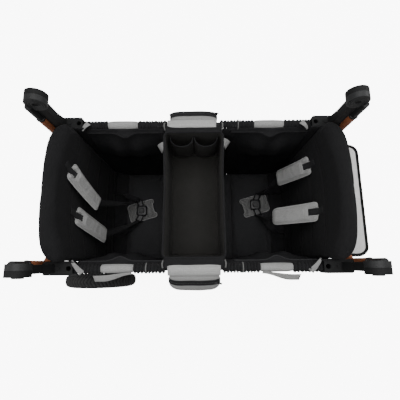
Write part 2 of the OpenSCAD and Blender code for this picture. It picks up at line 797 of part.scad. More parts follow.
module rear_frame_tubes() {
  axle_half = rear_wheel_y - rear_tyre_w / 2 - 2 * brake_ring_t - overrun;
  color(frame_black)
    difference() {
      union() {
        at_rear() {
          frame_uprights(rear_axle_z);
          both_sides()
            rod([end_pivot_x + knuckle_gap, floor_tube_y, floor_pivot_z],
                [post_x, floor_tube_y, rear_axle_z], floor_tube_d);
        }
        translate([-post_x, 0, rear_axle_z]) {
          y_disc(axle_tube_d, 2 * axle_half);
          both_sides() translate([brake_pivot.x, 0, brake_pivot.y]) brake_lug();
        }
      }
      translate([-post_x, 0, rear_axle_z]) {
        y_disc(axle_d + 2 * pin_gap, 4 * axle_half);
        translate([brake_pivot.x, 0, brake_pivot.y]) y_disc(brake_bar_d + 2 * pin_gap, 4 * pedal_w);
      }
    }
}
module front_frame_tubes() {
  knee_x = end_pivot_x + knee_l;
  color(frame_black) {
    frame_uprights(housing_z + housing_h / 3);
    both_sides() {
      rod([end_pivot_x + knuckle_gap, floor_tube_y, floor_pivot_z],
          [knee_x, floor_tube_y, floor_pivot_z], floor_tube_d);
      translate([knee_x, floor_tube_y, floor_pivot_z]) sphere(d = floor_tube_d + 2 * weld_h);
      rod([knee_x, floor_tube_y, floor_pivot_z],
          [post_x, floor_tube_y, housing_z + housing_h + post_d], floor_tube_d);
    }
  }
}

// Bracket at each corner: holds the post, the rail's end hinge and a canopy pole
module corner_bracket() {
  x0 = end_pivot_x + knuckle_gap;
  x1 = post_x + bracket_back;
  translate([0, rail_y, 0])
    difference() {
      union() {
        translate([(x0 + x1) / 2, 0, rail_z - bracket_h / 2])
          linear_extrude(bracket_h) round_rect(x1 - x0, bracket_w, bracket_r);
        translate([end_pivot_x, 0, rail_z]) hinge_fork(rail_d, fork_reach);
        translate([mix(socket_x, post_x, 0.5), 0, bracket_top]) cylinder(d = rivet_d, h = rivet_h);
      }
      translate([post_x, 0, rail_z - bracket_h]) cylinder(d = post_d + 2 * fit_gap, h = 2 * bracket_h);
      translate([socket_x, 0, bracket_top - socket_depth])
        cylinder(d = socket_d, h = socket_depth + overrun);
      rod([hoop_end_x, hoop_y - rail_y, hoop_z],
          [post_x, 0, rail_z - bracket_h], hoop_d + 2 * fit_gap);
    }
}
module rear_rail_brackets() {
  color(plastic_black) at_rear() both_sides() corner_bracket();
}
module front_rail_brackets() {
  color(plastic_black) both_sides() corner_bracket();
}

// Arm above the bracket, with the fixed outer half of the handle hub
module handle_arm() {
  foot_z = bracket_top + fit_gap;
  outer_y = hub_split_y + hub_gap;
  inner_y = arm_y - arm_t / 2;
  difference() {
    union() {
      translate([post_x, inner_y + arm_t, 0])
        rotate([90, 0, 0])
          linear_extrude(arm_t)
            polygon([[-arm_foot_w / 2, foot_z], [bracket_back, foot_z],
              [arm_w / 2, foot_z + arm_grip_l / 2], [arm_w / 2, hub_z],
              [-arm_w / 2, hub_z], [-arm_w / 2, foot_z + arm_grip_l]]);
      translate([post_x, outer_y + hub_half_w / 2, hub_z]) y_disc(hub_d, hub_half_w);
    }
    translate([post_x, outer_y - hub_half_w, hub_z]) y_disc(hub_d + 2 * hub_gap, 2 * hub_half_w);
    translate([post_x, outer_y + hub_half_w, hub_z])
      y_disc(button_d + 2 * fit_gap, 2 * (button_t + fit_gap));
    translate([post_x, rail_y, foot_z - overrun])
      cylinder(d = post_d + 2 * fit_gap, h = arm_grip_l + overrun);
  }
  translate([post_x, outer_y + overrun - hub_half_w / 2, hub_z]) y_disc(stub_d, hub_half_w);
}
module rear_handle_arms() {
  color(plastic_black) at_rear() both_sides() handle_arm();
}
module front_handle_arms() {
  color(plastic_black) both_sides() handle_arm();
}
module hub_button() {
  face = hub_split_y + hub_gap + hub_half_w;
  translate([post_x, face + button_travel - button_t / 2, hub_z]) y_disc(button_d, button_t);
}
module rear_left_button() {
  color(leather_brown) at_rear() hub_button();
}
module rear_right_button() {
  color(leather_brown) at_rear() to_side(-1) hub_button();
}
module front_left_button() {
  color(leather_brown) hub_button();
}
module front_right_button() {
  color(leather_brown) to_side(-1) hub_button();
}

// Swinging handle: hub halves with sockets, the bent tube and its wrapped grip
bar_x = post_x + handle_reach;
bar_z = hub_z - handle_drop;
lug_z = hub_z - lug_drop - lug_h;
module handle_run(d, top_z) {
  translate([bar_x, 0, 0]) {
    both_sides() {
      translate([0, handle_y, bar_z + handle_bend_r])
        cylinder(d = d, h = top_z - bar_z - handle_bend_r);
      translate([0, handle_y - handle_bend_r, bar_z + handle_bend_r])
        rotate([0, 90, 0])
          rotate_extrude(angle = 90)
            translate([handle_bend_r, 0]) circle(d = d);
    }
    translate([0, 0, bar_z]) y_disc(d, 2 * (handle_y - handle_bend_r));
  }
}
module end_handle_bar() {
  drum_y = hub_split_y - hub_half_w / 2;
  handle_run(bar_d, lug_z + fit_gap);
  both_sides() {
    difference() {
      union() {
        translate([post_x, drum_y, hub_z]) y_disc(hub_d, hub_half_w);
        translate([post_x + arm_w / 2 + hub_gap, hub_split_y - hub_half_w + hub_gap, hub_z - neck_h])
          cube([handle_reach - arm_w / 2 - hub_gap, hub_half_w - 2 * hub_gap, neck_h]);
      }
      translate([post_x, drum_y, hub_z]) y_disc(stub_d + 2 * pin_gap, 2 * hub_half_w);
    }
    translate([bar_x, handle_y, lug_z]) cylinder(d = lug_d, h = lug_h);
  }
}
module end_handle_grip() {
  top = lug_z - soft_gap;
  difference() {
    handle_run(grip_d, top);
    handle_run(bar_d + 2 * fit_gap, top + overrun);
  }
}
module rear_handle_bar() {
  color(plastic_black) at_rear() end_handle_bar();
}
module front_handle_bar() {
  color(plastic_black) end_handle_bar();
}
module rear_handle_grip() {
  color(leather_brown) at_rear() end_handle_grip();
}
module front_handle_grip() {
  color(leather_brown) end_handle_grip();
}

// Wheels
module tyre(d, w, h) {
  rotate([90, 0, 0])
    rotate_extrude($fn = 120)
      translate([d / 2 - h / 2, 0])
        difference() {
          round_rect(h, w, h / 3);
          for (k = [-1, 0, 1])
            translate([h / 2, k * w / 5]) square([2 * groove_h, groove_w], center = true);
        }
}
module rim(d, w, bore) {
  rotate([90, 0, 0])
    difference() {
      union() {
        rotate_extrude($fn = 120) translate([d / 2 - rim_t, -w * 0.4]) square([rim_t, w * 0.8]);
        cylinder(d = wheel_hub_d, h = w, center = true);
        for (k = [0 : spokes - 1])
          rotate([0, 0, 360 * k / spokes])
            translate([0, 0, -spoke_t / 2])
              linear_extrude(spoke_t)
                polygon([[0, -spoke_w / 2], [d / 2 - rim_t / 2, -spoke_w / 3],
                  [d / 2 - rim_t / 2, spoke_w / 3], [0, spoke_w / 2]]);
      }
      cylinder(d = bore, h = 2 * w, center = true);
    }
}
module brake_ring() {
  depth = rear_tyre_w / 2 - spoke_t / 2 + brake_ring_t;
  translate([0, -spoke_t / 2 - depth, 0])
    rotate([-90, 0, 0])
      difference() {
        cylinder(r = brake_ring_r, h = depth + spoke_t / 2);
        translate([0, 0, -overrun]) cylinder(r = brake_ring_r - brake_ring_t, h = 2 * depth);
        for (k = [0 : brake_slots - 1])
          rotate([0, 0, 360 * (k + 0.5) / brake_slots])
            translate([brake_ring_r - brake_ring_t / 2, 0, 0])
              cube([2 * brake_ring_t, brake_pin_d + 2 * brake_clear, 2 * brake_ring_t], center = true);
      }
}
module rear_rim() {
  rim(rear_wheel_d - 2 * rear_tyre_h - 2 * fit_gap, rear_tyre_w, axle_d + 2 * pin_gap);
  brake_ring();
}
module at_rear_wheel(side) {
  to_side(side) translate([-post_x, rear_wheel_y, rear_axle_z]) children();
}
module rear_left_tyre() {
  color(tyre_black) at_rear_wheel(1) tyre(rear_wheel_d, rear_tyre_w, rear_tyre_h);
}
module rear_right_tyre() {
  color(tyre_black) at_rear_wheel(-1) tyre(rear_wheel_d, rear_tyre_w, rear_tyre_h);
}
module rear_left_rim() {
  color(rim_grey) at_rear_wheel(1) rear_rim();
}
module rear_right_rim() {
  color(rim_grey) at_rear_wheel(-1) rear_rim();
}
module rear_axle() {
  outer = rear_wheel_y + rear_tyre_w / 2 + side_gap;
  color(steel_grey)
    translate([-post_x, 0, rear_axle_z]) {
      y_disc(axle_d, 2 * outer);
      both_sides() translate([0, outer + nut_t / 2, 0]) y_disc(nut_d, nut_t);
    }
}
// Foot brake: a pivot bar with a pedal and a pin for each wheel's slotted ring
module brake_pedal() {
  pin_y = rear_wheel_y - rear_tyre_w / 2 - brake_ring_t;
  arm_at = pin_y - brake_ring_t / 2 - ear_t;
  reach = brake_arm_l * sin(45);
  color(plastic_black)
    translate([brake_pivot.x - post_x, 0, rear_axle_z + brake_pivot.y]) {
      y_disc(brake_bar_d, 2 * arm_at);
      both_sides() {
        translate([0, arm_at, 0]) {
          y_disc(2.5 * brake_pin_d, ear_t);
          rotate([0, 45, 0])
            translate([brake_arm_l / 2, 0, 0])
              cube([brake_arm_l, ear_t - fit_gap, 1.5 * brake_pin_d], center = true);
          translate([reach, 0, -reach]) y_disc(2 * brake_pin_d, ear_t);
        }
        translate([reach, arm_at + brake_ring_t, -reach]) y_disc(brake_pin_d, 2 * brake_ring_t);
      }
      translate([-pedal_l / 2, 0, 0]) cube([pedal_l, pedal_w, pedal_t], center = true);
      translate([-pedal_l, 0, 0]) y_disc(1.25 * pedal_t, pedal_w + 2 * fit_gap);
    }
}

// Swivelling front wheels
module caster_housings() {
  top = housing_z + housing_h;
  color(plastic_black) both_sides()
    difference() {
      union() {
        translate([caster_x, caster_y, housing_z]) cylinder(d = crown_d, h = housing_h);
        translate([post_x, rail_y, housing_z]) cylinder(d = bracket_w, h = housing_h);
        translate([post_x, caster_y - bracket_w / 2, housing_z + housing_h / 4])
          cube([caster_x - post_x, bracket_w, housing_h * 0.75]);
      }
      translate([caster_x, caster_y, housing_z - overrun])
        cylinder(d = stem_d + 2 * pin_gap, h = housing_h * 0.8 + overrun);
      translate([post_x, rail_y, housing_z + housing_h / 3 - fit_gap])
        cylinder(d = post_d + 2 * fit_gap, h = housing_h);
      translate([caster_x + crown_d / 2 - lock_t / 2, caster_y, top])
        cube([lock_t + 2 * fit_gap, lock_w + 2 * fit_gap, 3 * housing_h], center = true);
      rod([post_x, floor_tube_y, top + post_d], [end_pivot_x + knee_l, floor_tube_y, floor_pivot_z],
          floor_tube_d + 2 * fit_gap);
    }
}
module caster_fork() {
  half = front_tyre_w / 2 + leg_clear;
  translate([caster_x, caster_y, crown_z])
    difference() {
      union() {
        cylinder(d = crown_d, h = crown_t);
        translate([-caster_trail / 2, 0, crown_t / 2])
          cube([caster_trail + leg_w, 2 * (half + leg_t), crown_t], center = true);
        cylinder(d = stem_d, h = crown_t + side_gap + housing_h * 0.75);
      }
      for (turn = [0, 180])
        rotate([0, 0, turn])
          translate([crown_d / 2, 0, crown_t])
            cube([2 * lock_t + 4 * fit_gap, lock_w + 4 * fit_gap, 3 * lock_travel], center = true);
    }
  for (side = [-1, 1])
    translate([caster_x, caster_y + side * (half + leg_t / 2) + leg_t / 2, 0])
      rotate([90, 0, 0])
        linear_extrude(leg_t) {
          polygon([[leg_w / 2, crown_z + crown_t], [-caster_trail - leg_w / 2, crown_z + crown_t],
            [-caster_trail - leg_w / 2, front_axle_z], [-caster_trail + leg_w / 2, front_axle_z]]);
          translate([-caster_trail, front_axle_z]) circle(d = leg_w);
        }
  translate([caster_x - caster_trail, caster_y, front_axle_z])
    y_disc(front_axle_d, 2 * half + leg_t);
}
module at_caster(side) {
  to_side(side) translate([caster_x - caster_trail, caster_y, front_axle_z]) children();
}
module front_rim() {
  rim(front_wheel_d - 2 * front_tyre_h - 2 * fit_gap, front_tyre_w, front_axle_d + 2 * pin_gap);
}
module left_fork() {
  color(plastic_black) caster_fork();
}
module right_fork() {
  color(plastic_black) to_side(-1) caster_fork();
}
module left_front_tyre() {
  color(tyre_black) at_caster(1) tyre(front_wheel_d, front_tyre_w, front_tyre_h);
}
module right_front_tyre() {
  color(tyre_black) at_caster(-1) tyre(front_wheel_d, front_tyre_w, front_tyre_h);
}
module left_front_rim() {
  color(rim_grey) at_caster(1) front_rim();
}
module right_front_rim() {
  color(rim_grey) at_caster(-1) front_rim();
}
module swivel_lock() {
  top = housing_z + housing_h;
  translate([caster_x + crown_d / 2 - lock_t / 2, caster_y, 0]) {
    translate([-lock_t / 2, -lock_w / 2, housing_z + lock_t])
      cube([lock_t, lock_w, housing_h + lock_travel - lock_t / 2]);
    translate([-lock_t / 2, -lock_w, top + lock_travel + soft_gap])
      cube([2 * lock_t, 2 * lock_w, lock_t]);
  }
}
module left_swivel_lock() {
  color(leather_brown) swivel_lock();
}
module right_swivel_lock() {
  color(leather_brown) to_side(-1) swivel_lock();
}

// Console: an open cloth bin between the rails, flaps over them and pockets outside
bin_y = min(wall_low_y, wall_top_y) - soft_gap;
flap_out_y = rail_y + rail_d / 2 + soft_gap;
flap_z = rail_z + rail_d / 2 + soft_gap;
module console_bin() {
  rim_z = rail_z + console_rise;
  color(cloth_black) translate([console_x, 0, 0]) {
    difference() {
      translate([0, 0, rim_z - console_h])
        linear_extrude(console_h) round_rect(console_l, 2 * bin_y, console_r);
      translate([0, 0, rim_z - console_h + console_t])
        linear_extrude(console_h)
          round_rect(console_l - 2 * console_t, 2 * (bin_y - console_t), console_r - console_t);
    }
    both_sides() {
      translate([-pocket_l / 2, bin_y - console_t, flap_z])
        cube([pocket_l, flap_out_y - bin_y + 2 * console_t, console_t]);
      translate([-pocket_l / 2, bin_y - console_t, rail_z])
        cube([pocket_l, console_t, flap_z - rail_z + console_t]);
      translate([-pocket_l / 2, flap_out_y, rail_z - rail_d])
        cube([pocket_l, console_t, flap_z - rail_z + rail_d + console_t]);
    }
  }
}
module console_pockets() {
  back = flap_out_y + console_t + fit_gap;
  color(cloth_grey) translate([console_x, 0, 0]) both_sides()
    translate([0, back + pocket_t, rail_z - pocket_h / 2])
      rotate([90, 0, 0])
        linear_extrude(pocket_t) round_rect(pocket_l, pocket_h, pocket_r);
}

// Bag hung on the front cross tube
module front_bag() {
  x0 = cross_x + cross_d / 2 + soft_gap;
  deep = bag_out_x - x0;
  color(cloth_grey) translate([x0, 0, 0]) {
    translate([0, 0, bag_top_z - bag_lid_t - bag_h / 2])
      rotate([90, 0, 90])
        linear_extrude(deep) round_rect(bag_w, bag_h, bag_r);
    translate([(deep + bag_lid_over) / 2, 0, bag_top_z - bag_lid_t - overrun])
      linear_extrude(bag_lid_t + overrun)
        round_rect(deep + bag_lid_over, bag_w - bag_r, bag_r / 2);
  }
}

rear_frame_tubes();
rear_handle_arms();
rear_rail_brackets();
rear_axle();
rear_seat_back();
rear_shoulder_pads();
rear_harness_straps();
rear_side_walls();
rear_left_tyre();
rear_left_rim();
rear_right_tyre();
rear_right_rim();
brake_pedal();
rear_handle_bar();
rear_handle_grip();
rear_left_button();
rear_right_button();
rear_rails();
rear_rail_sleeves();
rear_rail_pads();
rear_floor_board();
rear_floor_pad();
rear_buckle();
rear_buckle_button();
middle_rails();
middle_floor_board();
middle_floor_pad();
middle_side_walls();
fold_strap();
console_bin();
console_pockets();
front_rails();
front_rail_sleeves();
front_rail_pads();
front_floor_board();
front_floor_pad();
front_buckle();
front_buckle_button();
front_frame_tubes();
front_handle_arms();
front_rail_brackets();
caster_housings();
front_seat_back();
front_shoulder_pads();
front_harness_straps();
front_side_walls();
front_bag();
front_handle_bar();
front_handle_grip();
front_left_button();
front_right_button();
left_fork();
left_front_tyre();
left_front_rim();
left_swivel_lock();
right_fork();
right_front_tyre();
right_front_rim();
right_swivel_lock();
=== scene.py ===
import bmesh
import bpy
import json
import math
import random
from mathutils import Matrix, Vector, noise
from mathutils.bvhtree import BVHTree
from mathutils.kdtree import KDTree

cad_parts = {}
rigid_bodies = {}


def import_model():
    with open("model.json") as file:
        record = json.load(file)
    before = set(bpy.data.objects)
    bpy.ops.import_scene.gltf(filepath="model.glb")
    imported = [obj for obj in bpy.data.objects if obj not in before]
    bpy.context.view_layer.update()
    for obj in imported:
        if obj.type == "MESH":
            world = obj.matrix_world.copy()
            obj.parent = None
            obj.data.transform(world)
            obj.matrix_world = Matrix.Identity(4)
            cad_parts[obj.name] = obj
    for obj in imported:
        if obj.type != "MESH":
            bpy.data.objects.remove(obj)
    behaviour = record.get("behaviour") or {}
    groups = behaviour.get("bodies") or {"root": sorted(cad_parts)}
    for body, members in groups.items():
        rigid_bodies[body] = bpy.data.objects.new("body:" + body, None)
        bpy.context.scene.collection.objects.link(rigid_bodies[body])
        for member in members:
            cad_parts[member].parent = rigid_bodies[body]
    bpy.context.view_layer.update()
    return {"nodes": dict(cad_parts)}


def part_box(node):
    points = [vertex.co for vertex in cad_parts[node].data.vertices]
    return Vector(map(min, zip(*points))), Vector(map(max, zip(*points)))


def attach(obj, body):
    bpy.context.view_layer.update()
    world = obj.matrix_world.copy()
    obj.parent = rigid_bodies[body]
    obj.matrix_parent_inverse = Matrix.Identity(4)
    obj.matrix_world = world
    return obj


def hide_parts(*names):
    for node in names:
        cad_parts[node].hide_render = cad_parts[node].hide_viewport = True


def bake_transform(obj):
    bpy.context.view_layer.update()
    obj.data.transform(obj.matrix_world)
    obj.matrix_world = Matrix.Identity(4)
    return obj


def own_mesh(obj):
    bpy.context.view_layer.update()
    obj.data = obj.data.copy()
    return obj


for old in list(bpy.data.objects):
    bpy.data.objects.remove(old)
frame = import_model()
nodes = frame["nodes"]
scene = bpy.context.scene
ends = (("rear", -1), ("front", 1))
sides = (("left", 1), ("right", -1))
print("stage: frame loaded")

# Materials


def newMat(name):
    mat = bpy.data.materials.new(name)
    mat.use_nodes = True
    tree = mat.node_tree
    tree.nodes.clear()
    out = tree.nodes.new("ShaderNodeOutputMaterial")
    bsdf = tree.nodes.new("ShaderNodeBsdfPrincipled")
    tree.links.new(bsdf.outputs[0], out.inputs[0])
    return mat, tree, bsdf


def link(tree, value, socket):
    if hasattr(value, "is_output"):
        tree.links.new(value, socket)
    else:
        socket.default_value = value


def put(tree, kind, props=None, **inputs):
    node = tree.nodes.new(kind)
    for key, value in (props or {}).items():
        setattr(node, key, value)
    for key, value in inputs.items():
        link(tree, value, node.inputs[key])
    return node


def mathNode(tree, operation, first, second=0.0):
    node = tree.nodes.new("ShaderNodeMath")
    node.operation = operation
    link(tree, first, node.inputs[0])
    link(tree, second, node.inputs[1])
    return node.outputs[0]


def mixColor(tree, share, first, second):
    node = tree.nodes.new("ShaderNodeMix")
    node.data_type = "RGBA"
    link(tree, share, node.inputs[0])
    link(tree, first, node.inputs[6])
    link(tree, second, node.inputs[7])
    return node.outputs[2]


def ramp(tree, value, low, high):
    node = tree.nodes.new("ShaderNodeMapRange")
    link(tree, value, node.inputs[0])
    node.inputs[1].default_value = low
    node.inputs[2].default_value = high
    return node.outputs[0]


def objectCoords(tree, scale=(1, 1, 1)):
    coord = tree.nodes.new("ShaderNodeTexCoord")
    mapping = tree.nodes.new("ShaderNodeMapping")
    tree.links.new(coord.outputs["Object"], mapping.inputs[0])
    mapping.inputs["Scale"].default_value = scale
    return mapping.outputs[0]


def noiseTex(tree, vector, scale, detail=3.0, rough=0.5):
    return put(tree, "ShaderNodeTexNoise", None, Vector=vector, Scale=scale, Detail=detail,
               Roughness=rough).outputs[0]


def bump(tree, bsdf, height, strength, distance):
    node = put(tree, "ShaderNodeBump", None, Strength=strength, Distance=distance, Height=height)
    tree.links.new(node.outputs[0], bsdf.inputs["Normal"])


def rgba(color, gain=1.0):
    return (color[0] * gain, color[1] * gain, color[2] * gain, 1.0)


def clothMat(name, dark, light, thread, rough=0.88, sheen=0.02, bumpGain=0.5, spec=0.10):
    mat, tree, bsdf = newMat(name)
    plain = objectCoords(tree)
    waves = []
    for axis in ("X", "Y", "Z"):
        wave = put(tree, "ShaderNodeTexWave", {"bands_direction": axis}, Vector=plain,
                   Scale=2 * math.pi / (20 * thread), Distortion=1.2)
        wave.inputs["Detail Scale"].default_value = 3.0
        waves.append(wave.outputs[1])
    weave = mathNode(tree, "ADD", mathNode(tree, "MULTIPLY", waves[0], waves[1]),
                     mathNode(tree, "MULTIPLY", waves[2], 0.5))
    warp = noiseTex(tree, objectCoords(tree, (1.0, 0.4, 0.4)), 900.0, 2.0, 0.6)
    weft = noiseTex(tree, objectCoords(tree, (0.4, 1.0, 0.4)), 900.0, 2.0, 0.6)
    flecks = ramp(tree, mathNode(tree, "MULTIPLY", mathNode(tree, "ADD", warp, weft), 0.5), 0.36, 0.64)
    # random lighter patches a few centimetres across, mixed over the cloth's tone
    patchMask = ramp(tree, noiseTex(tree, plain, 14.0, 4.0), 0.3, 0.75)
    shade = mixColor(tree, flecks, rgba(dark), rgba(light))
    mottled = mixColor(tree, mathNode(tree, "MULTIPLY", patchMask, 0.22), shade, rgba(light, 1.15))
    tree.links.new(mottled, bsdf.inputs["Base Color"])
    bsdf.inputs["Roughness"].default_value = rough
    bsdf.inputs["Sheen Weight"].default_value = sheen
    bsdf.inputs["Sheen Roughness"].default_value = 0.5
    bsdf.inputs["Specular IOR Level"].default_value = spec
    height = mathNode(tree, "ADD", weave, mathNode(tree, "MULTIPLY", flecks, 0.6))
    bump(tree, bsdf, height, bumpGain, 0.0006)
    return mat


def greyCloth(name, dark, light, thread=0.0018, bumpGain=0.6):
    warm = 0.985  # the grey leans a little to yellow
    return clothMat(name, (dark, dark, dark * warm), (light, light, light * warm), thread, 0.9, 0.06,
                    bumpGain, 0.2)


def blackCloth(name, dark, light, thread, bumpGain=0.5):
    cool = 1.06  # the black leans a little to blue
    return clothMat(name, (dark, dark, dark * cool), (light, light, light * cool), thread, 0.9, 0.02,
                    bumpGain)


def plasticMat(name, color, rough, grain, gain, spec):
    mat, tree, bsdf = newMat(name)
    coords = objectCoords(tree)
    fine = noiseTex(tree, coords, grain, 2.0, 0.6)
    broad = noiseTex(tree, coords, 9.0, 4.0)
    scuff = ramp(tree, noiseTex(tree, objectCoords(tree, (1, 1, 6)), 60.0, 5.0, 0.7), 0.62, 0.8)
    shade = mixColor(tree, ramp(tree, broad, 0.25, 0.75), rgba(color, 0.82), rgba(color, 1.15))
    mottled = mixColor(tree, mathNode(tree, "MULTIPLY", scuff, 0.18), shade, rgba(color, 2.2))
    tree.links.new(mottled, bsdf.inputs["Base Color"])
    roughness = mathNode(tree, "ADD", rough, mathNode(tree, "MULTIPLY", scuff, 0.15))
    tree.links.new(roughness, bsdf.inputs["Roughness"])
    bsdf.inputs["Specular IOR Level"].default_value = spec
    bump(tree, bsdf, fine, gain, 0.0004)
    return mat


def leatherMat(name, dark, light):
    mat, tree, bsdf = newMat(name)
    coords = objectCoords(tree)
    cells = put(tree, "ShaderNodeTexVoronoi", {"feature": "DISTANCE_TO_EDGE"}, Vector=coords, Scale=520.0)
    pores = ramp(tree, cells.outputs[0], 0.0, 0.22)
    tone = ramp(tree, noiseTex(tree, coords, 34.0, 5.0, 0.6), 0.3, 0.7)
    shade = mixColor(tree, tone, rgba(dark), rgba(light))
    creased = mixColor(tree, pores, rgba(dark, 0.6), shade)
    tree.links.new(creased, bsdf.inputs["Base Color"])
    bsdf.inputs["Roughness"].default_value = 0.55
    bsdf.inputs["Specular IOR Level"].default_value = 0.3
    bump(tree, bsdf, mathNode(tree, "ADD", pores, mathNode(tree, "MULTIPLY", tone, 0.4)), 0.5, 0.0005)
    return mat


def tyreMat(name, centre, lugs, slant, treadFrom):
    mat, tree, bsdf = newMat(name)
    coords = objectCoords(tree)
    split = put(tree, "ShaderNodeSeparateXYZ", None, Vector=coords)
    dx = mathNode(tree, "SUBTRACT", split.outputs[0], centre[0])
    dz = mathNode(tree, "SUBTRACT", split.outputs[2], centre[2])
    dy = mathNode(tree, "ABSOLUTE", mathNode(tree, "SUBTRACT", split.outputs[1], centre[1]))
    angle = mathNode(tree, "ARCTAN2", dz, dx)
    turned = mathNode(tree, "ADD", angle, mathNode(tree, "MULTIPLY", dy, slant))
    wave = mathNode(tree, "SINE", mathNode(tree, "MULTIPLY", turned, lugs))
    reach = mathNode(tree, "SQRT", mathNode(tree, "ADD", mathNode(tree, "MULTIPLY", dx, dx),
                                            mathNode(tree, "MULTIPLY", dz, dz)))
    plain = mathNode(tree, "LESS_THAN", reach, treadFrom)
    blocks = mathNode(tree, "MAXIMUM", ramp(tree, wave, -0.75, -0.45), plain)
    dust = ramp(tree, noiseTex(tree, coords, 55.0, 5.0, 0.65), 0.45, 0.8)
    shade = mixColor(tree, mathNode(tree, "MULTIPLY", dust, 0.5), rgba((0.022, 0.022, 0.022)),
                     rgba((0.054, 0.053, 0.050)))
    # blocks is 0 in the grooves, which get near-black rubber: painted shade in the grooves; lugs and
    # sidewalls get the dusty tone
    tree.links.new(mixColor(tree, blocks, rgba((0.008, 0.008, 0.008)), shade), bsdf.inputs["Base Color"])
    bsdf.inputs["Roughness"].default_value = 0.78
    bsdf.inputs["Specular IOR Level"].default_value = 0.25
    grain = mathNode(tree, "MULTIPLY", noiseTex(tree, coords, 900.0, 2.0), 0.25)
    bump(tree, bsdf, mathNode(tree, "ADD", blocks, grain), 0.5, 0.0008)
    return mat


def steelMat(name):
    mat, tree, bsdf = newMat(name)
    streak = noiseTex(tree, objectCoords(tree, (1, 14, 1)), 210.0, 3.0, 0.6)
    tree.links.new(mixColor(tree, streak, rgba((0.42, 0.43, 0.45)), rgba((0.62, 0.63, 0.65))),
                   bsdf.inputs["Base Color"])
    bsdf.inputs["Metallic"].default_value = 1.0
    tree.links.new(ramp(tree, streak, -1.6, 2.2), bsdf.inputs["Roughness"])
    bump(tree, bsdf, streak, 0.15, 0.0002)
    return mat


linerCloth = blackCloth("linerCloth", 0.009, 0.019, 0.0016)
binCloth = clothMat("binCloth", (0.019, 0.0185, 0.0175), (0.034, 0.033, 0.031), 0.0018, 0.9, 0.02)
padCloth = blackCloth("padCloth", 0.007, 0.014, 0.0022)
sleeveCloth = blackCloth("sleeveCloth", 0.008, 0.018, 0.0014)
wallCloth = clothMat("wallCloth", (0.013, 0.013, 0.0136), (0.025, 0.025, 0.0262), 0.0016, 0.95, 0.0, 0.5, 0.0)
floorCloth = blackCloth("floorCloth", 0.018, 0.036, 0.0016)
hemCloth = blackCloth("hemCloth", 0.017, 0.034, 0.0012)
webCloth = blackCloth("webCloth", 0.010, 0.022, 0.0030, 0.9)
pipingCloth = blackCloth("pipingCloth", 0.005, 0.014, 0.0012)
darkThread = blackCloth("darkThread", 0.016, 0.032, 0.0008)
melangeCloth = greyCloth("melangeCloth", 0.15, 0.34)
railCloth = greyCloth("railCloth", 0.15, 0.35)
flapCloth = greyCloth("flapCloth", 0.225, 0.45)
lidCloth = greyCloth("lidCloth", 0.43, 0.83)
# the crotch pads' cloth is the grey melange at half its brightness: painted shade for pads lying deep in the
# wagon
crotchShadeCloth = greyCloth("crotchShadeCloth", 0.075, 0.17)
edgeCloth = greyCloth("edgeCloth", 0.24, 0.46, 0.0012)
greyWeb = greyCloth("greyWeb", 0.15, 0.31, 0.0030, 0.9)
dimWeb = greyCloth("dimWeb", 0.07, 0.15, 0.0030, 0.9)
greyThread = greyCloth("greyThread", 0.07, 0.15, 0.0008)
tanThread = clothMat("tanThread", (0.30, 0.16, 0.08), (0.45, 0.26, 0.14), 0.0008, 0.7)
framePaint = plasticMat("framePaint", (0.011, 0.011, 0.012), 0.45, 700.0, 0.25, 0.2)
mouldedGrain = plasticMat("mouldedGrain", (0.0085, 0.0088, 0.0090), 0.55, 1500.0, 0.45, 0.14)
hubGrain = plasticMat("hubGrain", (0.015, 0.0155, 0.016), 0.42, 1300.0, 0.4, 0.26)
glossPlastic = plasticMat("glossPlastic", (0.010, 0.010, 0.011), 0.32, 900.0, 0.12, 0.3)
boardPlastic = plasticMat("boardPlastic", (0.012, 0.012, 0.012), 0.7, 500.0, 0.5, 0.15)
rimPlastic = plasticMat("rimPlastic", (0.030, 0.030, 0.032), 0.45, 1200.0, 0.3, 0.3)
zipTeeth = plasticMat("zipTeeth", (0.012, 0.012, 0.012), 0.35, 1500.0, 0.2, 0.4)
brownLeather = leatherMat("brownLeather", (0.23, 0.072, 0.030), (0.44, 0.150, 0.066))
plated = steelMat("plated")
print("stage: materials made")

# Shapes shared by the pieces


def lerp(a, b, t):
    return a + (b - a) * t


def smooth(t):
    t = min(max(t, 0.0), 1.0)
    return t * t * (3 - 2 * t)


def bell(x, middle, width):
    return math.exp(-((x - middle) / width) ** 2)


def along(points, t):  # smooth curve through points, at a share of its length
    f = t * (len(points) - 1)
    i = min(int(f), len(points) - 2)
    a, b = points[max(i - 1, 0)], points[i]
    c, d = points[i + 1], points[min(i + 2, len(points) - 1)]
    u = f - i
    return tuple(0.5 * (2 * q + (r - p) * u + (2 * p - 5 * q + 4 * r - w) * u * u
                        + (3 * q - p - 3 * r + w) * u ** 3)
                 for p, q, r, w in zip(a, b, c, d))


def bend(a, b, c, count):
    a, b, c = Vector(a), Vector(b), Vector(c)
    return [a.lerp(b, i / count).lerp(b.lerp(c, i / count), i / count) for i in range(count + 1)]


def runLength(points):
    return sum((b - a).length for a, b in zip(points, points[1:]))


def makeObj(name, verts, faces, mat, shade=True):
    mesh = bpy.data.meshes.new(name)
    mesh.from_pydata([tuple(v) for v in verts], [], faces)
    mesh.validate()
    mesh.update()
    obj = bpy.data.objects.new(name, mesh)
    scene.collection.objects.link(obj)
    mesh.materials.append(mat)
    work = bmesh.new()
    work.from_mesh(mesh)
    bmesh.ops.remove_doubles(work, verts=work.verts, dist=1e-6)
    bmesh.ops.recalc_face_normals(work, faces=work.faces)
    work.to_mesh(mesh)
    work.free()
    if shade:
        mesh.polygons.foreach_set("use_smooth", [True] * len(mesh.polygons))
    return obj


def bake(obj):
    bpy.context.view_layer.update()
    graph = bpy.context.evaluated_depsgraph_get()
    mesh = bpy.data.meshes.new_from_object(obj.evaluated_get(graph))
    obj.modifiers.clear()
    obj.data = mesh
    mesh.polygons.foreach_set("use_smooth", [True] * len(mesh.polygons))
    return obj


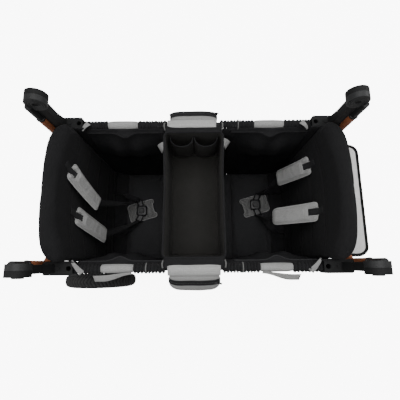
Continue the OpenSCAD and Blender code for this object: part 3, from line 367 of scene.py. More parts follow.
def gridFaces(nu, nv, wrap=False):
    row = nu if wrap else nu + 1
    faces = []
    for j in range(nv):
        for i in range(nu):
            k = (i + 1) % row if wrap else i + 1
            faces.append((j * row + i, j * row + k, (j + 1) * row + k, (j + 1) * row + i))
    return faces


def cloth(name, nu, nv, point, mat, thick=0.0016):
    verts = [point(i / nu, j / nv) for j in range(nv + 1) for i in range(nu + 1)]
    obj = makeObj(name, verts, gridFaces(nu, nv), mat)
    solid = obj.modifiers.new("thick", "SOLIDIFY")
    solid.thickness = thick
    solid.offset = 0.0
    return bake(obj)


def pillow(name, nu, nv, point, mat):
    spots = [(i / nu, j / nv) for j in range(nv + 1) for i in range(nu + 1)]
    grids = [[point(u, v, back) for u, v in spots] for back in (False, True)]
    n = len(grids[0])
    faces = gridFaces(nu, nv)
    rim = list(range(nu)) + [j * (nu + 1) + nu for j in range(nv)]
    rim += [nv * (nu + 1) + i for i in range(nu, 0, -1)] + [j * (nu + 1) for j in range(nv, 0, -1)]
    faces += [tuple(n + i for i in reversed(f)) for f in faces]
    for a, b in zip(rim, rim[1:] + rim[:1]):
        faces.append((a, b, n + b, n + a))
    return makeObj(name, grids[0] + grids[1], faces, mat)


def rings(name, loops, mat, closeEnds=True):
    n = len(loops[0])
    verts = [p for loop in loops for p in loop]
    faces = gridFaces(n, len(loops) - 1, True)
    if closeEnds:
        faces.append(tuple(reversed(range(n))))
        faces.append(tuple(range(len(verts) - n, len(verts))))
    return makeObj(name, verts, faces, mat)


def circle(count):
    return [(math.cos(2 * math.pi * k / count), math.sin(2 * math.pi * k / count)) for k in range(count)]


def tube(name, points, radius, mat, around=10, loop=False):
    points = [Vector(p) for p in points]
    if loop:
        points = points + [points[0]]
    up, rows, last = Vector((0, 0, 1)), [], len(points) - 1
    for i, p in enumerate(points):
        before = points[i - 1] if i else (points[last - 1] if loop else p)
        after = points[i + 1] if i < last else (points[1] if loop else p)
        run = (after - before).normalized()
        if i == 0 and abs(run.dot(up)) > 0.95:
            up = Vector((1, 0, 0))
        side = run.cross(up).normalized()
        up = side.cross(run).normalized()
        r = radius(i / last) if callable(radius) else radius
        rows.append([p + (side * c + up * s) * r for c, s in circle(around)])
    return rings(name, rows, mat)


def ribbon(name, points, across, width, thick, mat):
    points = [Vector(p) for p in points]
    section = ((-0.5, 0.0), (-0.46, 0.5), (-0.16, 0.38), (0.16, 0.38), (0.46, 0.5), (0.5, 0.0),
               (0.46, -0.5), (0.16, -0.38), (-0.16, -0.38), (-0.46, -0.5))
    rows, last = [], len(points) - 1
    for i, p in enumerate(points):
        run = (points[min(i + 1, last)] - points[max(i - 1, 0)]).normalized()
        side = Vector(across[i] if isinstance(across, list) else across)
        side = (side - run * side.dot(run)).normalized()
        up = side.cross(run).normalized()
        w = width(i / last) if callable(width) else width
        rows.append([p + side * (a * w) + up * (b * thick) for a, b in section])
    return rings(name, rows, mat)


def surfaceOf(obj):
    bpy.context.view_layer.update()
    mesh = obj.data
    return BVHTree.FromPolygons([obj.matrix_world @ v.co for v in mesh.vertices],
                                [tuple(p.vertices) for p in mesh.polygons])


def landOn(tree, points, direction, far=0.05, lift=0.0003):
    direction = Vector(direction).normalized()
    landed = []
    for p in points:
        hit, normal = tree.ray_cast(Vector(p) - direction * far, direction, 2 * far)[:2]
        if hit is not None:
            landed.append((hit - direction * lift, normal))
    return landed


def stitches(name, landed, mat, length=0.0042, gap=0.0026, width=0.0011):
    verts, faces = [], []
    walk, nextAt = 0.0, 0.0
    for (p, n), (q, _) in zip(landed, landed[1:]):
        run = q - p
        step = run.length
        if step < 1e-6 or step > 0.03:
            continue
        run = run / step
        while nextAt < walk + step:
            c = p + run * (nextAt - walk)
            side = n.cross(run).normalized()
            up = run.cross(side).normalized()
            up = up if up.dot(n) > 0 else -up
            k = len(verts)
            verts += [c - run * length / 2, c + run * length / 2, c + side * width / 2, c - side * width / 2,
                      c + up * width * 0.45, c - up * width * 0.3]
            faces += [(k, k + 2, k + 4), (k + 2, k + 1, k + 4), (k + 1, k + 3, k + 4), (k + 3, k, k + 4),
                      (k, k + 5, k + 2), (k + 2, k + 5, k + 1), (k + 1, k + 5, k + 3), (k + 3, k + 5, k)]
            nextAt += length + gap
        walk += step
    return makeObj(name, verts, faces, mat, False)


def evenOut(obj, voxel, passes):
    mod = obj.modifiers.new("voxels", "REMESH")
    mod.mode = "VOXEL"
    mod.voxel_size = voxel
    bake(obj)
    even = obj.modifiers.new("even", "SMOOTH")
    even.factor = 0.5
    even.iterations = passes
    return bake(obj)


def inflate(obj, pressure, cap, hold=None, steps=16):
    rest = [v.co.copy() for v in obj.data.vertices]
    soft = obj.modifiers.new("cloth", "CLOTH")
    soft.settings.quality = 4
    soft.settings.mass = 0.15
    soft.settings.tension_stiffness = 12
    soft.settings.compression_stiffness = 12
    soft.settings.shear_stiffness = 5
    soft.settings.bending_stiffness = 0.4
    soft.settings.use_pressure = True
    soft.settings.uniform_pressure_force = pressure
    soft.settings.effector_weights.gravity = 0
    if hold is not None:
        group = obj.vertex_groups.new(name="held")
        group.add([v.index for v in obj.data.vertices if hold(v.co)], 1.0, "REPLACE")
        soft.settings.vertex_group_mass = "held"
    soft.point_cache.frame_start = 1
    soft.point_cache.frame_end = steps + 1
    for f in range(1, steps + 1):
        scene.frame_set(f)
    bake(obj)
    scene.frame_set(1)
    for v, r in zip(obj.data.vertices, rest):
        move = v.co - r
        if move.length > cap:
            v.co = r + move * (cap / move.length)
    obj.data.update()
    return obj


def subdivide(obj):
    mod = obj.modifiers.new("smoother", "SUBSURF")
    mod.levels = 1
    mod.render_levels = 1
    return bake(obj)


def onto(obj, body, slot, *shown):
    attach(obj, body)
    if shown:
        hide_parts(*shown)
    return obj


def across(obj, slot, a, b, start, end, *shown):
    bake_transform(obj)
    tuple(start)
    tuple(end)
    if shown:
        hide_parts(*shown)
    return obj


def sew(name, tree, run, direction, thread, body, slot, far=0.05):
    return onto(stitches(name, landOn(tree, run, direction, far), thread), body, slot)


def wrinkle(p, scale, seed):
    return noise.noise(Vector(p) * scale + Vector((seed, seed * 1.7, seed * 0.3)))


def roundLoop(cx, cy, z, halfX, halfY, radius, count=8):
    loop = []
    for qx, qy, start in ((1, 1, 0), (-1, 1, 90), (-1, -1, 180), (1, -1, 270)):
        for k in range(count + 1):
            a = math.radians(start + 90 * k / count)
            loop.append(Vector((cx + qx * (halfX - radius) + radius * math.cos(a),
                                cy + qy * (halfY - radius) + radius * math.sin(a), z)))
    return loop


def fillIn(loop, step):
    dense = []
    for p, q in zip(loop, loop[1:] + loop[:1]):
        count = max(int((q - p).length / step), 1)
        dense += [p.lerp(q, i / count) for i in range(count)]
    return dense


def outlineOf(corners, step=0.004):  # closed outline with rounded corners, each (x, y, radius)
    points = []
    for i, (x, y, r) in enumerate(corners):
        here = Vector((x, y))
        before = Vector(corners[i - 1][:2]) - here
        after = Vector(corners[(i + 1) % len(corners)][:2]) - here
        points += bend(here + before.normalized() * r, here, here + after.normalized() * r, 6)
    return fillIn(points, step)


def insetOf(outline, depth):
    moved = []
    for i, p in enumerate(outline):
        run = (outline[(i + 1) % len(outline)] - outline[i - 1]).normalized()
        moved.append(p + Vector((-run.y, run.x)) * depth)
    return moved + moved[:1]


def softPad(name, outline, edgeT, fullT, place, mat, seam=0.0085, ripple=0.0007):
    n = len(outline)
    verts = [(p.x, p.y, 0) for p in outline] + [(p.x, p.y, edgeT) for p in outline]
    faces = [tuple(reversed(range(n))), tuple(range(n, 2 * n))]
    faces += [(i, (i + 1) % n, n + (i + 1) % n, n + i) for i in range(n)]
    obj = makeObj(name, verts, faces, mat)
    evenOut(obj, 0.0032, 3)
    near = KDTree(n)
    for i, p in enumerate(outline):
        near.insert((p.x, p.y, 0), i)
    near.balance()
    for v in obj.data.vertices:
        x, y = v.co.x, v.co.y
        d = near.find((x, y, 0))[2]
        crown = 1 - (1 - min(d / 0.014, 1.0)) ** 2
        high = lerp(edgeT * 0.62, fullT, crown) - 0.0022 * bell(d, seam, 0.0022)
        high += ripple * crown * math.sin(y * 260 + 5 * wrinkle((x, y, 0), 25.0, 3.0))
        low = edgeT * 0.38 * (1 - min(d / 0.006, 1.0))
        v.co = place(x, y, lerp(low, high, smooth(v.co.z / edgeT)))
    obj.data.update()
    inflate(obj, 2.5, 0.0025)
    return subdivide(obj)


# CAD pieces that stay as they are, with their finishes
finishes = {
    "frame": (framePaint, 0.0, (
        "rear_frame_tubes", "front_frame_tubes", "rear_rails", "middle_rails", "front_rails")),
    "moulded": (mouldedGrain, 0.0016, (
        "rear_handle_arms", "front_handle_arms", "rear_rail_brackets", "front_rail_brackets", "brake_pedal",
        "caster_housings", "left_fork", "right_fork", "left_swivel_lock", "right_swivel_lock")),
    "hubs": (hubGrain, 0.0014, (
        "rear_handle_bar", "front_handle_bar", "rear_left_button", "rear_right_button", "front_left_button",
        "front_right_button", "rear_buckle_button", "front_buckle_button")),
    "board": (boardPlastic, 0.001, ("rear_floor_board", "middle_floor_board", "front_floor_board")),
    "rims": (rimPlastic, 0.0015, ("rear_left_rim", "rear_right_rim", "left_front_rim", "right_front_rim")),
    "axle": (plated, 0.0008, ("rear_axle",)),
    "grips": (brownLeather, 0.002, ("rear_handle_grip", "front_handle_grip")),
}


def finish(node, mat, bevel):
    node.data.materials.clear()
    node.data.materials.append(mat)
    if bevel:
        mod = node.modifiers.new("edge", "BEVEL")
        mod.width = bevel
        mod.segments = 3
        mod.limit_method = "ANGLE"
        mod.angle_limit = math.radians(35)


for mat, bevel, names in finishes.values():
    for name in names:
        finish(nodes[name], mat, bevel)
print("stage: CAD pieces finished")

# Tyres with a round crown and slanted grooves in the tread
tyre = {"groove": 0.0024, "slant": 3.6, "steps": 6, "crownSteps": 24, "treadFrom": 0.35, "treadOver": 0.20,
        "sidePower": 0.9, "crownPower": 0.8, "grooveFrom": 0.75, "grooveOver": 0.30,
        "bead": ((0.45, 0.97), (0.85, 0.86), (1.0, 0.78)),
        "rear": {"half": 0.029, "tall": 0.038, "drop": 0.027, "lugs": 64, "name": "rear_%s"},
        "front": {"half": 0.023, "tall": 0.026, "drop": 0.018, "lugs": 48, "name": "%s_front"}}


def tyreSection(size, radius, turn):
    half, drop, low = size["half"], size["drop"], radius - size["drop"]
    crown = []
    for k in range(tyre["crownSteps"] + 1):
        a = math.radians(lerp(-90, 90, k / tyre["crownSteps"]))
        y = half * math.copysign(abs(math.sin(a)) ** tyre["sidePower"], a)
        r = low + drop * math.cos(a) ** tyre["crownPower"]
        wave = math.sin(size["lugs"] * (turn + tyre["slant"] * abs(y)))
        tread = smooth((r - low - tyre["treadFrom"] * drop) / (tyre["treadOver"] * drop))
        cut = (1 - smooth((wave + tyre["grooveFrom"]) / tyre["grooveOver"])) * tread
        crown.append((r - tyre["groove"] * cut, y))
    side = [(lerp(low, radius - size["tall"], share), half * wide) for share, wide in tyre["bead"]]
    return crown + side + [(r, -y) for r, y in reversed(side)]


for end in ("rear", "front"):
    size = tyre[end]
    for side in ("left", "right"):
        wheel, name = size["name"] % side, end + side.capitalize()
        low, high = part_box(wheel + "_tyre")
        centre, radius = (low + high) / 2, (high.z - low.z) / 2
        loops, count = [], size["lugs"] * tyre["steps"]
        for turn in [2 * math.pi * k / count for k in range(count + 1)]:
            loops.append([centre + Vector((r * math.cos(turn), y, r * math.sin(turn)))
                          for r, y in tyreSection(size, radius, turn)])
        rubber = tyreMat(name + "Rubber", centre, size["lugs"], tyre["slant"],
                         radius - size["drop"] * (1 - tyre["treadFrom"]))
        onto(rings(name + "Tyre", loops, rubber, False), wheel + "_wheel", "tyre", wheel + "_tyre")
print("stage: tyres made")

# Seat backs, padded and sewn in cross channels, with the top rolled over the hoop
seat = {"lowX": 0.410, "topX": 0.457, "cornerX": 0.422, "lowZ": 0.222, "topZ": 0.742, "halfW": 0.219,
        "thick": 0.024, "edge": 0.011, "sink": 0.002, "low": 0.2232, "wide": 0.2278,
        "wideFrom": 0.300, "wideOver": 0.30, "side": 0.2250, "sideFrom": 0.12, "sideOver": 0.09, "sideZ": 0.5,
        "outX": 0.4995, "outBow": 0.010, "outCorner": 0.030, "rollFrom": 0.676, "rollOver": 0.036,
        "lip": 0.017, "rimFrom": 0.93, "rimOver": 0.07, "crest": 0.007, "shoulder": 0.020, "rumple": 0.0016,
        "channels": (0.335, 0.442, 0.545, 0.640), "channelW": 0.0065, "depth": 0.0042,
        "seamX": 0.44, "seamY": 0.196, "seamFar": 0.15,
        "backSeamX": 0.47, "backSeamY": (-0.150, 0.150), "backSeamZ": (0.24, 0.66)}


def seatBow(y, z):
    t = (z - seat["lowZ"]) / (seat["topZ"] - seat["lowZ"])
    side = min((y / seat["halfW"]) ** 2, 1.1)
    return lerp(seat["lowX"], lerp(seat["topX"], seat["cornerX"], side), t)


def seatPoint(s, u, v, back):
    w = 2 * u - 1
    top = seat["topZ"] + seat["crest"] - seat["shoulder"] * abs(w) ** 5
    z = lerp(seat["lowZ"], top, 1 - (1 - v) ** 1.35)
    y = w * lerp(seat["low"], seat["wide"], smooth((z - seat["wideFrom"]) / seat["wideOver"]))
    crown = (1 - abs(w) ** 6) * (1 - abs(2 * v - 1) ** 10)
    half = lerp(seat["edge"], seat["thick"], crown) / 2
    mid = seatBow(y, z) + seat["thick"] / 2
    outer = seat["outX"] - seat["outBow"] * w * w - seat["outCorner"] * w ** 8
    near = mid - half + seat["sink"]
    roll = smooth((z - seat["rollFrom"]) / seat["rollOver"])
    far = lerp(mid + half, outer, roll)
    lid = min(max((z - top + seat["lip"]) / seat["lip"], 0.0), 1.0)
    rim = min(max((abs(w) - seat["rimFrom"]) / seat["rimOver"], 0.0), 1.0) * roll
    pull = (far - near) / 2 * (1 - math.sqrt(1 - 0.95 * max(lid, rim) ** 2))
    return Vector((s * ((far - pull) if back else (near + pull)), y, z))


for end, s in ends:
    obj = pillow(end + "SeatBack", 44, 70, lambda u, v, back: seatPoint(s, u, v, back), padCloth)
    evenOut(obj, 0.0046, 7)
    inflate(obj, 3.0, 0.004)
    reach = max(abs(v.co.y) for v in obj.data.vertices if abs(v.co.z - seat["sideZ"]) < 0.02)
    for v in obj.data.vertices:
        p = v.co
        p.y *= lerp(1.0, seat["side"] / reach, smooth((abs(p.y) - seat["sideFrom"]) / seat["sideOver"]))
        edge = 1 - min(abs(p.y) / seat["halfW"], 1.0) ** 8
        if s * p.x < seatBow(p.y, p.z) + seat["thick"] * 0.5:
            dip = min(sum(bell(p.z, c, seat["channelW"]) for c in seat["channels"]), 1.0)
            p.x += s * (seat["depth"] * dip + seat["rumple"] * wrinkle(p, 17.0, 3.0 + s)) * edge
    obj.data.update()
    subdivide(obj)
    onto(obj, end + "_frame", "liner", end + "_seat_back")
    tree = surfaceOf(obj)
    for k, c in enumerate(seat["channels"]):
        run = [Vector((s * seat["seamX"], lerp(-seat["seamY"], seat["seamY"], i / 90), c)) for i in range(91)]
        sew(end + "SeatSeam" + str(k), tree, run, (s, 0, 0), darkThread, end + "_frame", "liner",
            seat["seamFar"])
    for k, y in enumerate(seat["backSeamY"]):
        run = [Vector((s * seat["backSeamX"], y, lerp(*seat["backSeamZ"], i / 90))) for i in range(91)]
        sew(end + "BackSeam" + str(k), tree, run, (-s, 0, 0), darkThread, end + "_frame", "liner",
            seat["seamFar"])
print("stage: seat backs made")

# Shoulder pads that hang from the seat backs, each with a notch for its webbing
harness = {"width": 0.070, "edge": 0.010, "thick": 0.018, "rest": 0.0018, "notch": 0.031, "deep": 0.025,
           "web": 0.025, "webT": 0.0022, "waistZ": 0.272, "waistY": (0.205, 0.100), "waistLift": 0.0045,
           "piping": 0.0019, "seam": 0.0085, "anchorFrom": 0.80, "anchorPast": 0.03,
           "anchorLift": (0.013, 0.0036),
           "rear": (((0.085, 0.673), (-0.009, 0.520), 0.038), ((-0.063, 0.612), (-0.124, 0.446), 0.035)),
           "front": (((0.129, 0.578), (0.124, 0.410), 0.068), ((-0.055, 0.598), (-0.054, 0.466), 0.118))}


def onSeat(s, top, low, lean, t, side, lift):
    dy, dz = top[0] - low[0], top[1] - low[1]
    size = math.hypot(dy, dz)
    y = low[0] + dy * t + dz / size * side
    z = low[1] + dz * t - dy / size * side
    return Vector((s * (seatBow(y, z) - lean * max(1 - t, 0.0) ** 1.2 - lift), y, z))


padLow = {}
for end, s in ends:
    for (side, sy), (top, low, lean) in zip(sides, harness[end]):
        name = end + side.capitalize()
        size = math.hypot(top[0] - low[0], top[1] - low[1])
        h, n, d = harness["width"] / 2, harness["notch"] / 2, harness["deep"]
        shape = outlineOf([(-h * 0.94, 0, 0.016), (h * 0.94, 0, 0.016), (h, size, 0.014), (n, size, 0.010),
                           (n, size - d, 0.004), (-n, size - d, 0.004), (-n, size, 0.010), (-h, size, 0.014)])

        def place(x, y, lift):
            return onSeat(s, top, low, lean, y / size, x, harness["rest"] + lift)

        pad = softPad(name + "Pad", shape, harness["edge"], harness["thick"], place, melangeCloth)
        onto(pad, end + "_frame", "melange", end + "_shoulder_pads")
        tree = surfaceOf(pad)
        edge = tube(name + "PadPiping", [place(p.x, p.y, harness["edge"] * 0.62) for p in shape],
                    harness["piping"], edgeCloth, 8, True)
        onto(edge, end + "_frame", "melange")
        body = outlineOf([(-h, 0, 0.016), (h, 0, 0.016), (h, size - d, 0.006), (-h, size - d, 0.006)])
        run = [place(p.x, p.y, harness["thick"]) for p in insetOf(body, harness["seam"])]
        sew(name + "PadSeam", tree, run, (s, 0, 0), greyThread, end + "_frame", "melange", 0.03)
        sideways = onSeat(s, top, low, 0, 0.9, 0.1, 0) - onSeat(s, top, low, 0, 0.9, -0.1, 0)
        past = 1.0 + harness["web"] / size + harness["anchorPast"]
        path = [onSeat(s, top, low, lean, lerp(harness["anchorFrom"], past, i / 12), 0,
                       lerp(*harness["anchorLift"], smooth(i / 7))) for i in range(13)]
        anchor = ribbon(name + "Anchor", path, sideways, harness["web"], harness["webT"], webCloth)
        onto(anchor, end + "_frame", "liner", end + "_harness_straps")
        runLength(path)
        padLow[end, side] = (place(0, 0.012, 0.006), sideways)
        waistZ = harness["waistZ"]
        path = [Vector((s * (seatBow(y, waistZ) - harness["waistLift"]), sy * y, waistZ))
                for y in [lerp(*harness["waistY"], i / 10) for i in range(11)]]
        waist = ribbon(name + "WaistStrap", path, Vector((0, 0, 1)), harness["web"], harness["webT"],
                       webCloth)
        onto(waist, end + "_frame", "liner", end + "_harness_straps")
        runLength(path)
print("stage: shoulder pads made")

# Crotch pads and buckles on the floor pads, and the loose webbing that ends at them
buckle = {"x": 0.285, "rear": 0.022, "front": 0.048, "base": 0.1954, "length": 0.135, "width": 0.094,
          "thick": 0.011, "turn": 16.0, "notch": 0.056, "deep": 0.009, "slope": 0.006, "side": 0.052,
          "corner": 0.011, "piping": 0.0018, "seam": 0.0085, "tongue": 0.052, "tongueIn": 0.022,
          "tongueX": (0.002, 0.016), "tongueZ": 0.0085, "tongueW": (0.028, 0.033), "tongueT": 0.007,
          "lapKnee": (0.372, 0.105, 0.228), "chestShares": (0.45, 0.6), "chestZ": 0.262, "webLift": 0.006}
buckleShell = ((0.0, -0.003), (0.0015, -0.0006), (0.004, 0.0), (0.011, 0.0), (0.0140, -0.0012),
               (0.0156, -0.004))
buckleWell = ((0.0165, 0.0160), (0.0150, 0.0160), (0.0128, 0.0148), (0.0126, 0.0072))
for end, s in ends:
    cx, cy, z0 = s * buckle["x"], buckle[end], buckle["base"]
    turn = math.radians(buckle["turn"])
    lengthwise = Vector((math.cos(turn), math.sin(turn), 0)) * s
    sideways = Vector((-math.sin(turn), math.cos(turn), 0)) * s
    h, reach, n, d = buckle["width"] / 2, buckle["length"] / 2, buckle["notch"] / 2, buckle["deep"]
    inner = n - buckle["slope"]
    shape = outlineOf([(h, reach, 0.020), (-h, reach, 0.020), (-h, -reach, 0.012), (-n, -reach, 0.006),
                       (-inner, d - reach, 0.006), (inner, d - reach, 0.006), (n, -reach, 0.006),
                       (h, -reach, 0.012)])

    def place(x, y, lift):
        return Vector((cx, cy, z0 + lift)) + lengthwise * y + sideways * x

    # the crotch pads take the darker melange, painted shade
    pad = softPad(end + "CrotchPad", shape, buckle["thick"] * 0.7, buckle["thick"], place, crotchShadeCloth)
    onto(pad, end + "_floor", "melange", end + "_buckle")
    tree = surfaceOf(pad)
    edge = tube(end + "CrotchPiping", [place(p.x, p.y, buckle["thick"] * 0.45) for p in shape],
                buckle["piping"], melangeCloth, 8, True)
    onto(edge, end + "_floor", "melange")
    run = [place(p.x, p.y, buckle["thick"]) for p in insetOf(shape, buckle["seam"])]
    sew(end + "CrotchSeam", tree, run, (0, 0, -1), greyThread, end + "_floor", "melange", 0.03)
    zb = z0 + buckle["thick"]
    half = buckle["side"] / 2
    loops = [roundLoop(cx, cy, zb + dz, half + grow, half + grow, buckle["corner"])
             for dz, grow in buckleShell]
    loops += [roundLoop(cx, cy, zb + dz, r, r, r) for r, dz in buckleWell]
    onto(rings(end + "BuckleShell", loops, glossPlastic), end + "_floor", "moulded")
    for side, sy in sides:
        name = end + side.capitalize()
        tip = Vector((cx + s * buckle["tongueX"][1], cy + sy * buckle["tongue"], zb + buckle["tongueZ"]))
        path = [Vector((cx + s * lerp(*buckle["tongueX"], t),
                        cy + sy * lerp(buckle["tongueIn"], buckle["tongue"], t), tip.z))
                for t in [i / 6 for i in range(7)]]
        tongue = ribbon(name + "Tongue", path, Vector((1, 0, 0)), lambda q: lerp(*buckle["tongueW"], q),
                        buckle["tongueT"], glossPlastic)
        onto(tongue, end + "_floor", "moulded")
        hang, flat = padLow[end, side]
        waistEnd = Vector((s * (seatBow(0.1, harness["waistZ"]) - buckle["webLift"]),
                           sy * harness["waistY"][1], harness["waistZ"]))
        lapX, lapY, lapZ = buckle["lapKnee"]
        shareX, shareY = buckle["chestShares"]
        chestKnee = (lerp(hang.x, tip.x, shareX), lerp(hang.y, tip.y, shareY), buckle["chestZ"])
        for part, start, knee, turned in (
                ("LapWeb", waistEnd, (s * lapX, sy * lapY, lapZ), Vector((0, 0, 1))),
                ("ChestWeb", hang, chestKnee, flat)):
            path = bend(start, knee, tip, 20)
            lay = [turned.normalized().lerp(Vector((s, 0, 0)), smooth(i / 18)) for i in range(21)]
            web = ribbon(name + part, path, lay, harness["web"], harness["webT"], webCloth)
            across(web, "liner", end + "_frame", end + "_floor", start, tip)
            runLength(path)
print("stage: buckles made")

# Floor pads and the liner strips that close the floor between them
floor = {"half": 0.2206, "base": 0.1751, "edge": 0.012, "top": 0.0199, "endX": (0.1640, 0.3660),
         "midX": 0.1160, "ceiling": 0.1953, "stripX": (0.112, 0.170), "stripZ": 0.1795, "stripDip": 0.0025,
         "apronX": (0.358, 0.432), "apronZ": 0.1835, "apronRise": 0.050, "thick": 0.0014}


def floorPad(name, x0, x1, body, node):
    def point(u, v, back):
        crown = (1 - abs(2 * u - 1) ** 6) * (1 - abs(2 * v - 1) ** 8)
        z = floor["base"] + (0.0 if back else lerp(floor["edge"], floor["top"], crown))
        pull = 0.98 if back else 1.0
        x, y = lerp(x0, x1, 0.5 + (u - 0.5) * pull), lerp(-floor["half"], floor["half"], v) * pull
        return Vector((x, y, z))

    obj = pillow(name, 20, 36, point, floorCloth)
    evenOut(obj, 0.0056, 3)
    inflate(obj, 3.0, 0.003, lambda p: p.z < floor["base"] + 0.004)
    for v in obj.data.vertices:
        if v.co.z > floor["base"] + 0.008:
            v.co.z = min(v.co.z + 0.0009 * wrinkle(v.co, 22.0, 5.0), floor["ceiling"])
    subdivide(obj)
    onto(obj, body, "liner", node)


def stripPoint(s, u, v):
    return Vector((s * lerp(*floor["stripX"], u), lerp(-floor["half"], floor["half"], v),
                   floor["stripZ"] - floor["stripDip"] * math.sin(math.pi * u)))


def apronPoint(s, u, v):
    rise = floor["apronRise"] * smooth(u) ** 1.4
    return Vector((s * lerp(*floor["apronX"], u), lerp(-floor["half"], floor["half"], v),
                   floor["apronZ"] + rise + 0.0015 * wrinkle((u, v * 9, 0), 2.2, 4.0)))


floorPad("middleFloorPad", -floor["midX"], floor["midX"], "middle", "middle_floor_pad")
for end, s in ends:
    floorPad(end + "FloorPad", s * floor["endX"][0], s * floor["endX"][1], end + "_floor", end + "_floor_pad")
    strip = cloth(end + "HingeStrip", 10, 40, lambda u, v: stripPoint(s, u, v), floorCloth, floor["thick"])
    onto(strip, "middle", "liner")
    apron = cloth(end + "FootApron", 12, 40, lambda u, v: apronPoint(s, u, v), linerCloth, floor["thick"])
    across(apron, "liner", end + "_floor", end + "_frame", (s * 0.366, 0, 0.18), (s * 0.412, 0, 0.21))
print("stage: floor made")

# Pull strap of the fold, on the middle floor pad
pull = {"radius": 0.043, "width": 0.032, "thick": 0.0038, "z": 0.1954}
arc = [Vector((-pull["radius"] * math.cos(math.pi * i / 24), 0.0015 * math.sin(i * 0.9),
               pull["z"] + pull["radius"] * math.sin(math.pi * i / 24))) for i in range(25)]
strap = ribbon("pullStrap", arc, Vector((0, 1, 0)), pull["width"], pull["thick"], webCloth)
onto(strap, "middle", "liner", "fold_strap")

# Cloth walls of the seat bays, hung from the rails with a loose hem
wall = {"inX": 0.120, "bayX": 0.146, "seatX": 0.4018, "outX": 0.454, "y": 0.2222, "lowZ": 0.1756,
        "belly": 0.024, "midX": 0.136, "midY": 0.2245, "midOut": 0.0115, "midZ": 0.667,
        "fold": 0.005, "folds": 3, "roomTo": 0.50, "roomOver": 0.20, "outFold": 0.004,
        "keep": 0.41, "anchorX": 0.392, "hemAt": 0.08, "hemY": 0.2290, "hemZ": 0.6530,
        "hemX": 0.263, "hemBow": 0.0150, "hemWide": 0.026, "railY": 0.2368, "railZ": 0.6690,
        "cornerX": 0.3960, "cornerY": 0.2268, "lipY": 0.2320, "lipZ": 0.6904}


def wallPoint(s, sy, x, v):
    b = min(max((x - wall["bayX"]) / (wall["seatX"] - wall["bayX"]), 0.0), 1.0)
    slack = bell(x, wall["hemX"], wall["hemWide"])
    hemY, hemZ = wall["hemY"] - wall["hemBow"] * slack, wall["hemZ"] - 0.006 * slack
    if v < wall["hemAt"]:
        t = v / wall["hemAt"]
        y = lerp(wall["railY"], hemY, t)
        z = lerp(wall["railZ"], hemZ, t) - 0.003 * math.sin(math.pi * t)
        y += 0.0012 * wrinkle((x, y, z), 60.0, 2.0) * math.sin(math.pi * t)
    else:
        rise = 1 - (v - wall["hemAt"]) / (1 - wall["hemAt"])
        ripple = wall["fold"] * math.cos(2 * math.pi * wall["folds"] * b)
        sag = math.sin(math.radians(130 * rise)) * math.sin(math.pi * b) * (wall["belly"] + ripple)
        crease = wrinkle((x, sy * 0.2, rise * 0.48), 13.0, 6.0) * math.sin(math.pi * rise)
        sag -= 0.0025 * math.sin(math.pi * b) * crease
        out = wall["outFold"] * (1 + math.cos(2 * math.pi * wall["folds"] * b)) * math.sin(math.pi * b)
        out *= math.sin(math.pi * min(rise / wall["roomTo"], 1.0))
        # the floor boards swing up past the lower half, so the belly hangs above it
        room = smooth((rise - wall["roomTo"]) / wall["roomOver"])
        y = lerp(wall["y"] - sag * room + out, hemY, smooth((rise - 0.80) / 0.20))
        z = lerp(wall["lowZ"], hemZ, rise)
    return Vector((s * x, sy * y, z))


def cornerPoint(s, sy, x, v):  # runs up beside the bracket and laps over its top edge
    if v < wall["hemAt"]:
        t = v / wall["hemAt"]
        y = lerp(wall["lipY"], wall["cornerY"], smooth(t * 1.6))
        z = lerp(wall["lipZ"], wall["hemZ"], max(t - 0.3, 0.0) / 0.7)
    else:
        rise = 1 - (v - wall["hemAt"]) / (1 - wall["hemAt"])
        y, z = lerp(wall["y"], wall["cornerY"], smooth(rise)), lerp(wall["lowZ"], wall["hemZ"], rise)
    return Vector((s * x, sy * y, z))


def middlePoint(sy, u, v):
    out = wall["midOut"] * smooth((v - 0.93) / 0.07) + 0.001 * wrinkle((u * 3, v * 4, sy), 2.0, 8.0)
    return Vector((lerp(-wall["midX"], wall["midX"], u), sy * (wall["midY"] + out),
                   lerp(wall["lowZ"], wall["midZ"], v)))


for end, s in ends:
    for side, sy in sides:
        name = end + side.capitalize()
        bay = cloth(name + "Wall", 64, 50,
                    lambda u, v: wallPoint(s, sy, lerp(wall["inX"], wall["seatX"], u), v), wallCloth)
        onto(bay, end + "_frame", "liner", end + "_side_walls")
        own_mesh(bay)
        corner = cloth(name + "Corner", 12, 60,
                       lambda u, v: cornerPoint(s, sy, lerp(wall["cornerX"], wall["outX"], u), v), wallCloth)
        onto(corner, end + "_frame", "liner")
        hem = [wallPoint(s, sy, lerp(wall["inX"], wall["seatX"], i / 60), wall["hemAt"])
               - Vector((0, sy * 0.001, 0)) for i in range(61)]
        piping = tube(name + "Hem", hem, 0.0022, hemCloth if sy < 0 else sleeveCloth, 8)
        onto(piping, end + "_frame", "liner")
        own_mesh(piping)
for side, sy in sides:
    middle = cloth("middle" + side.capitalize() + "Wall", 24, 40, lambda u, v: middlePoint(sy, u, v),
                   wallCloth)
    onto(middle, "middle", "liner", "middle_side_walls")
print("stage: walls made")

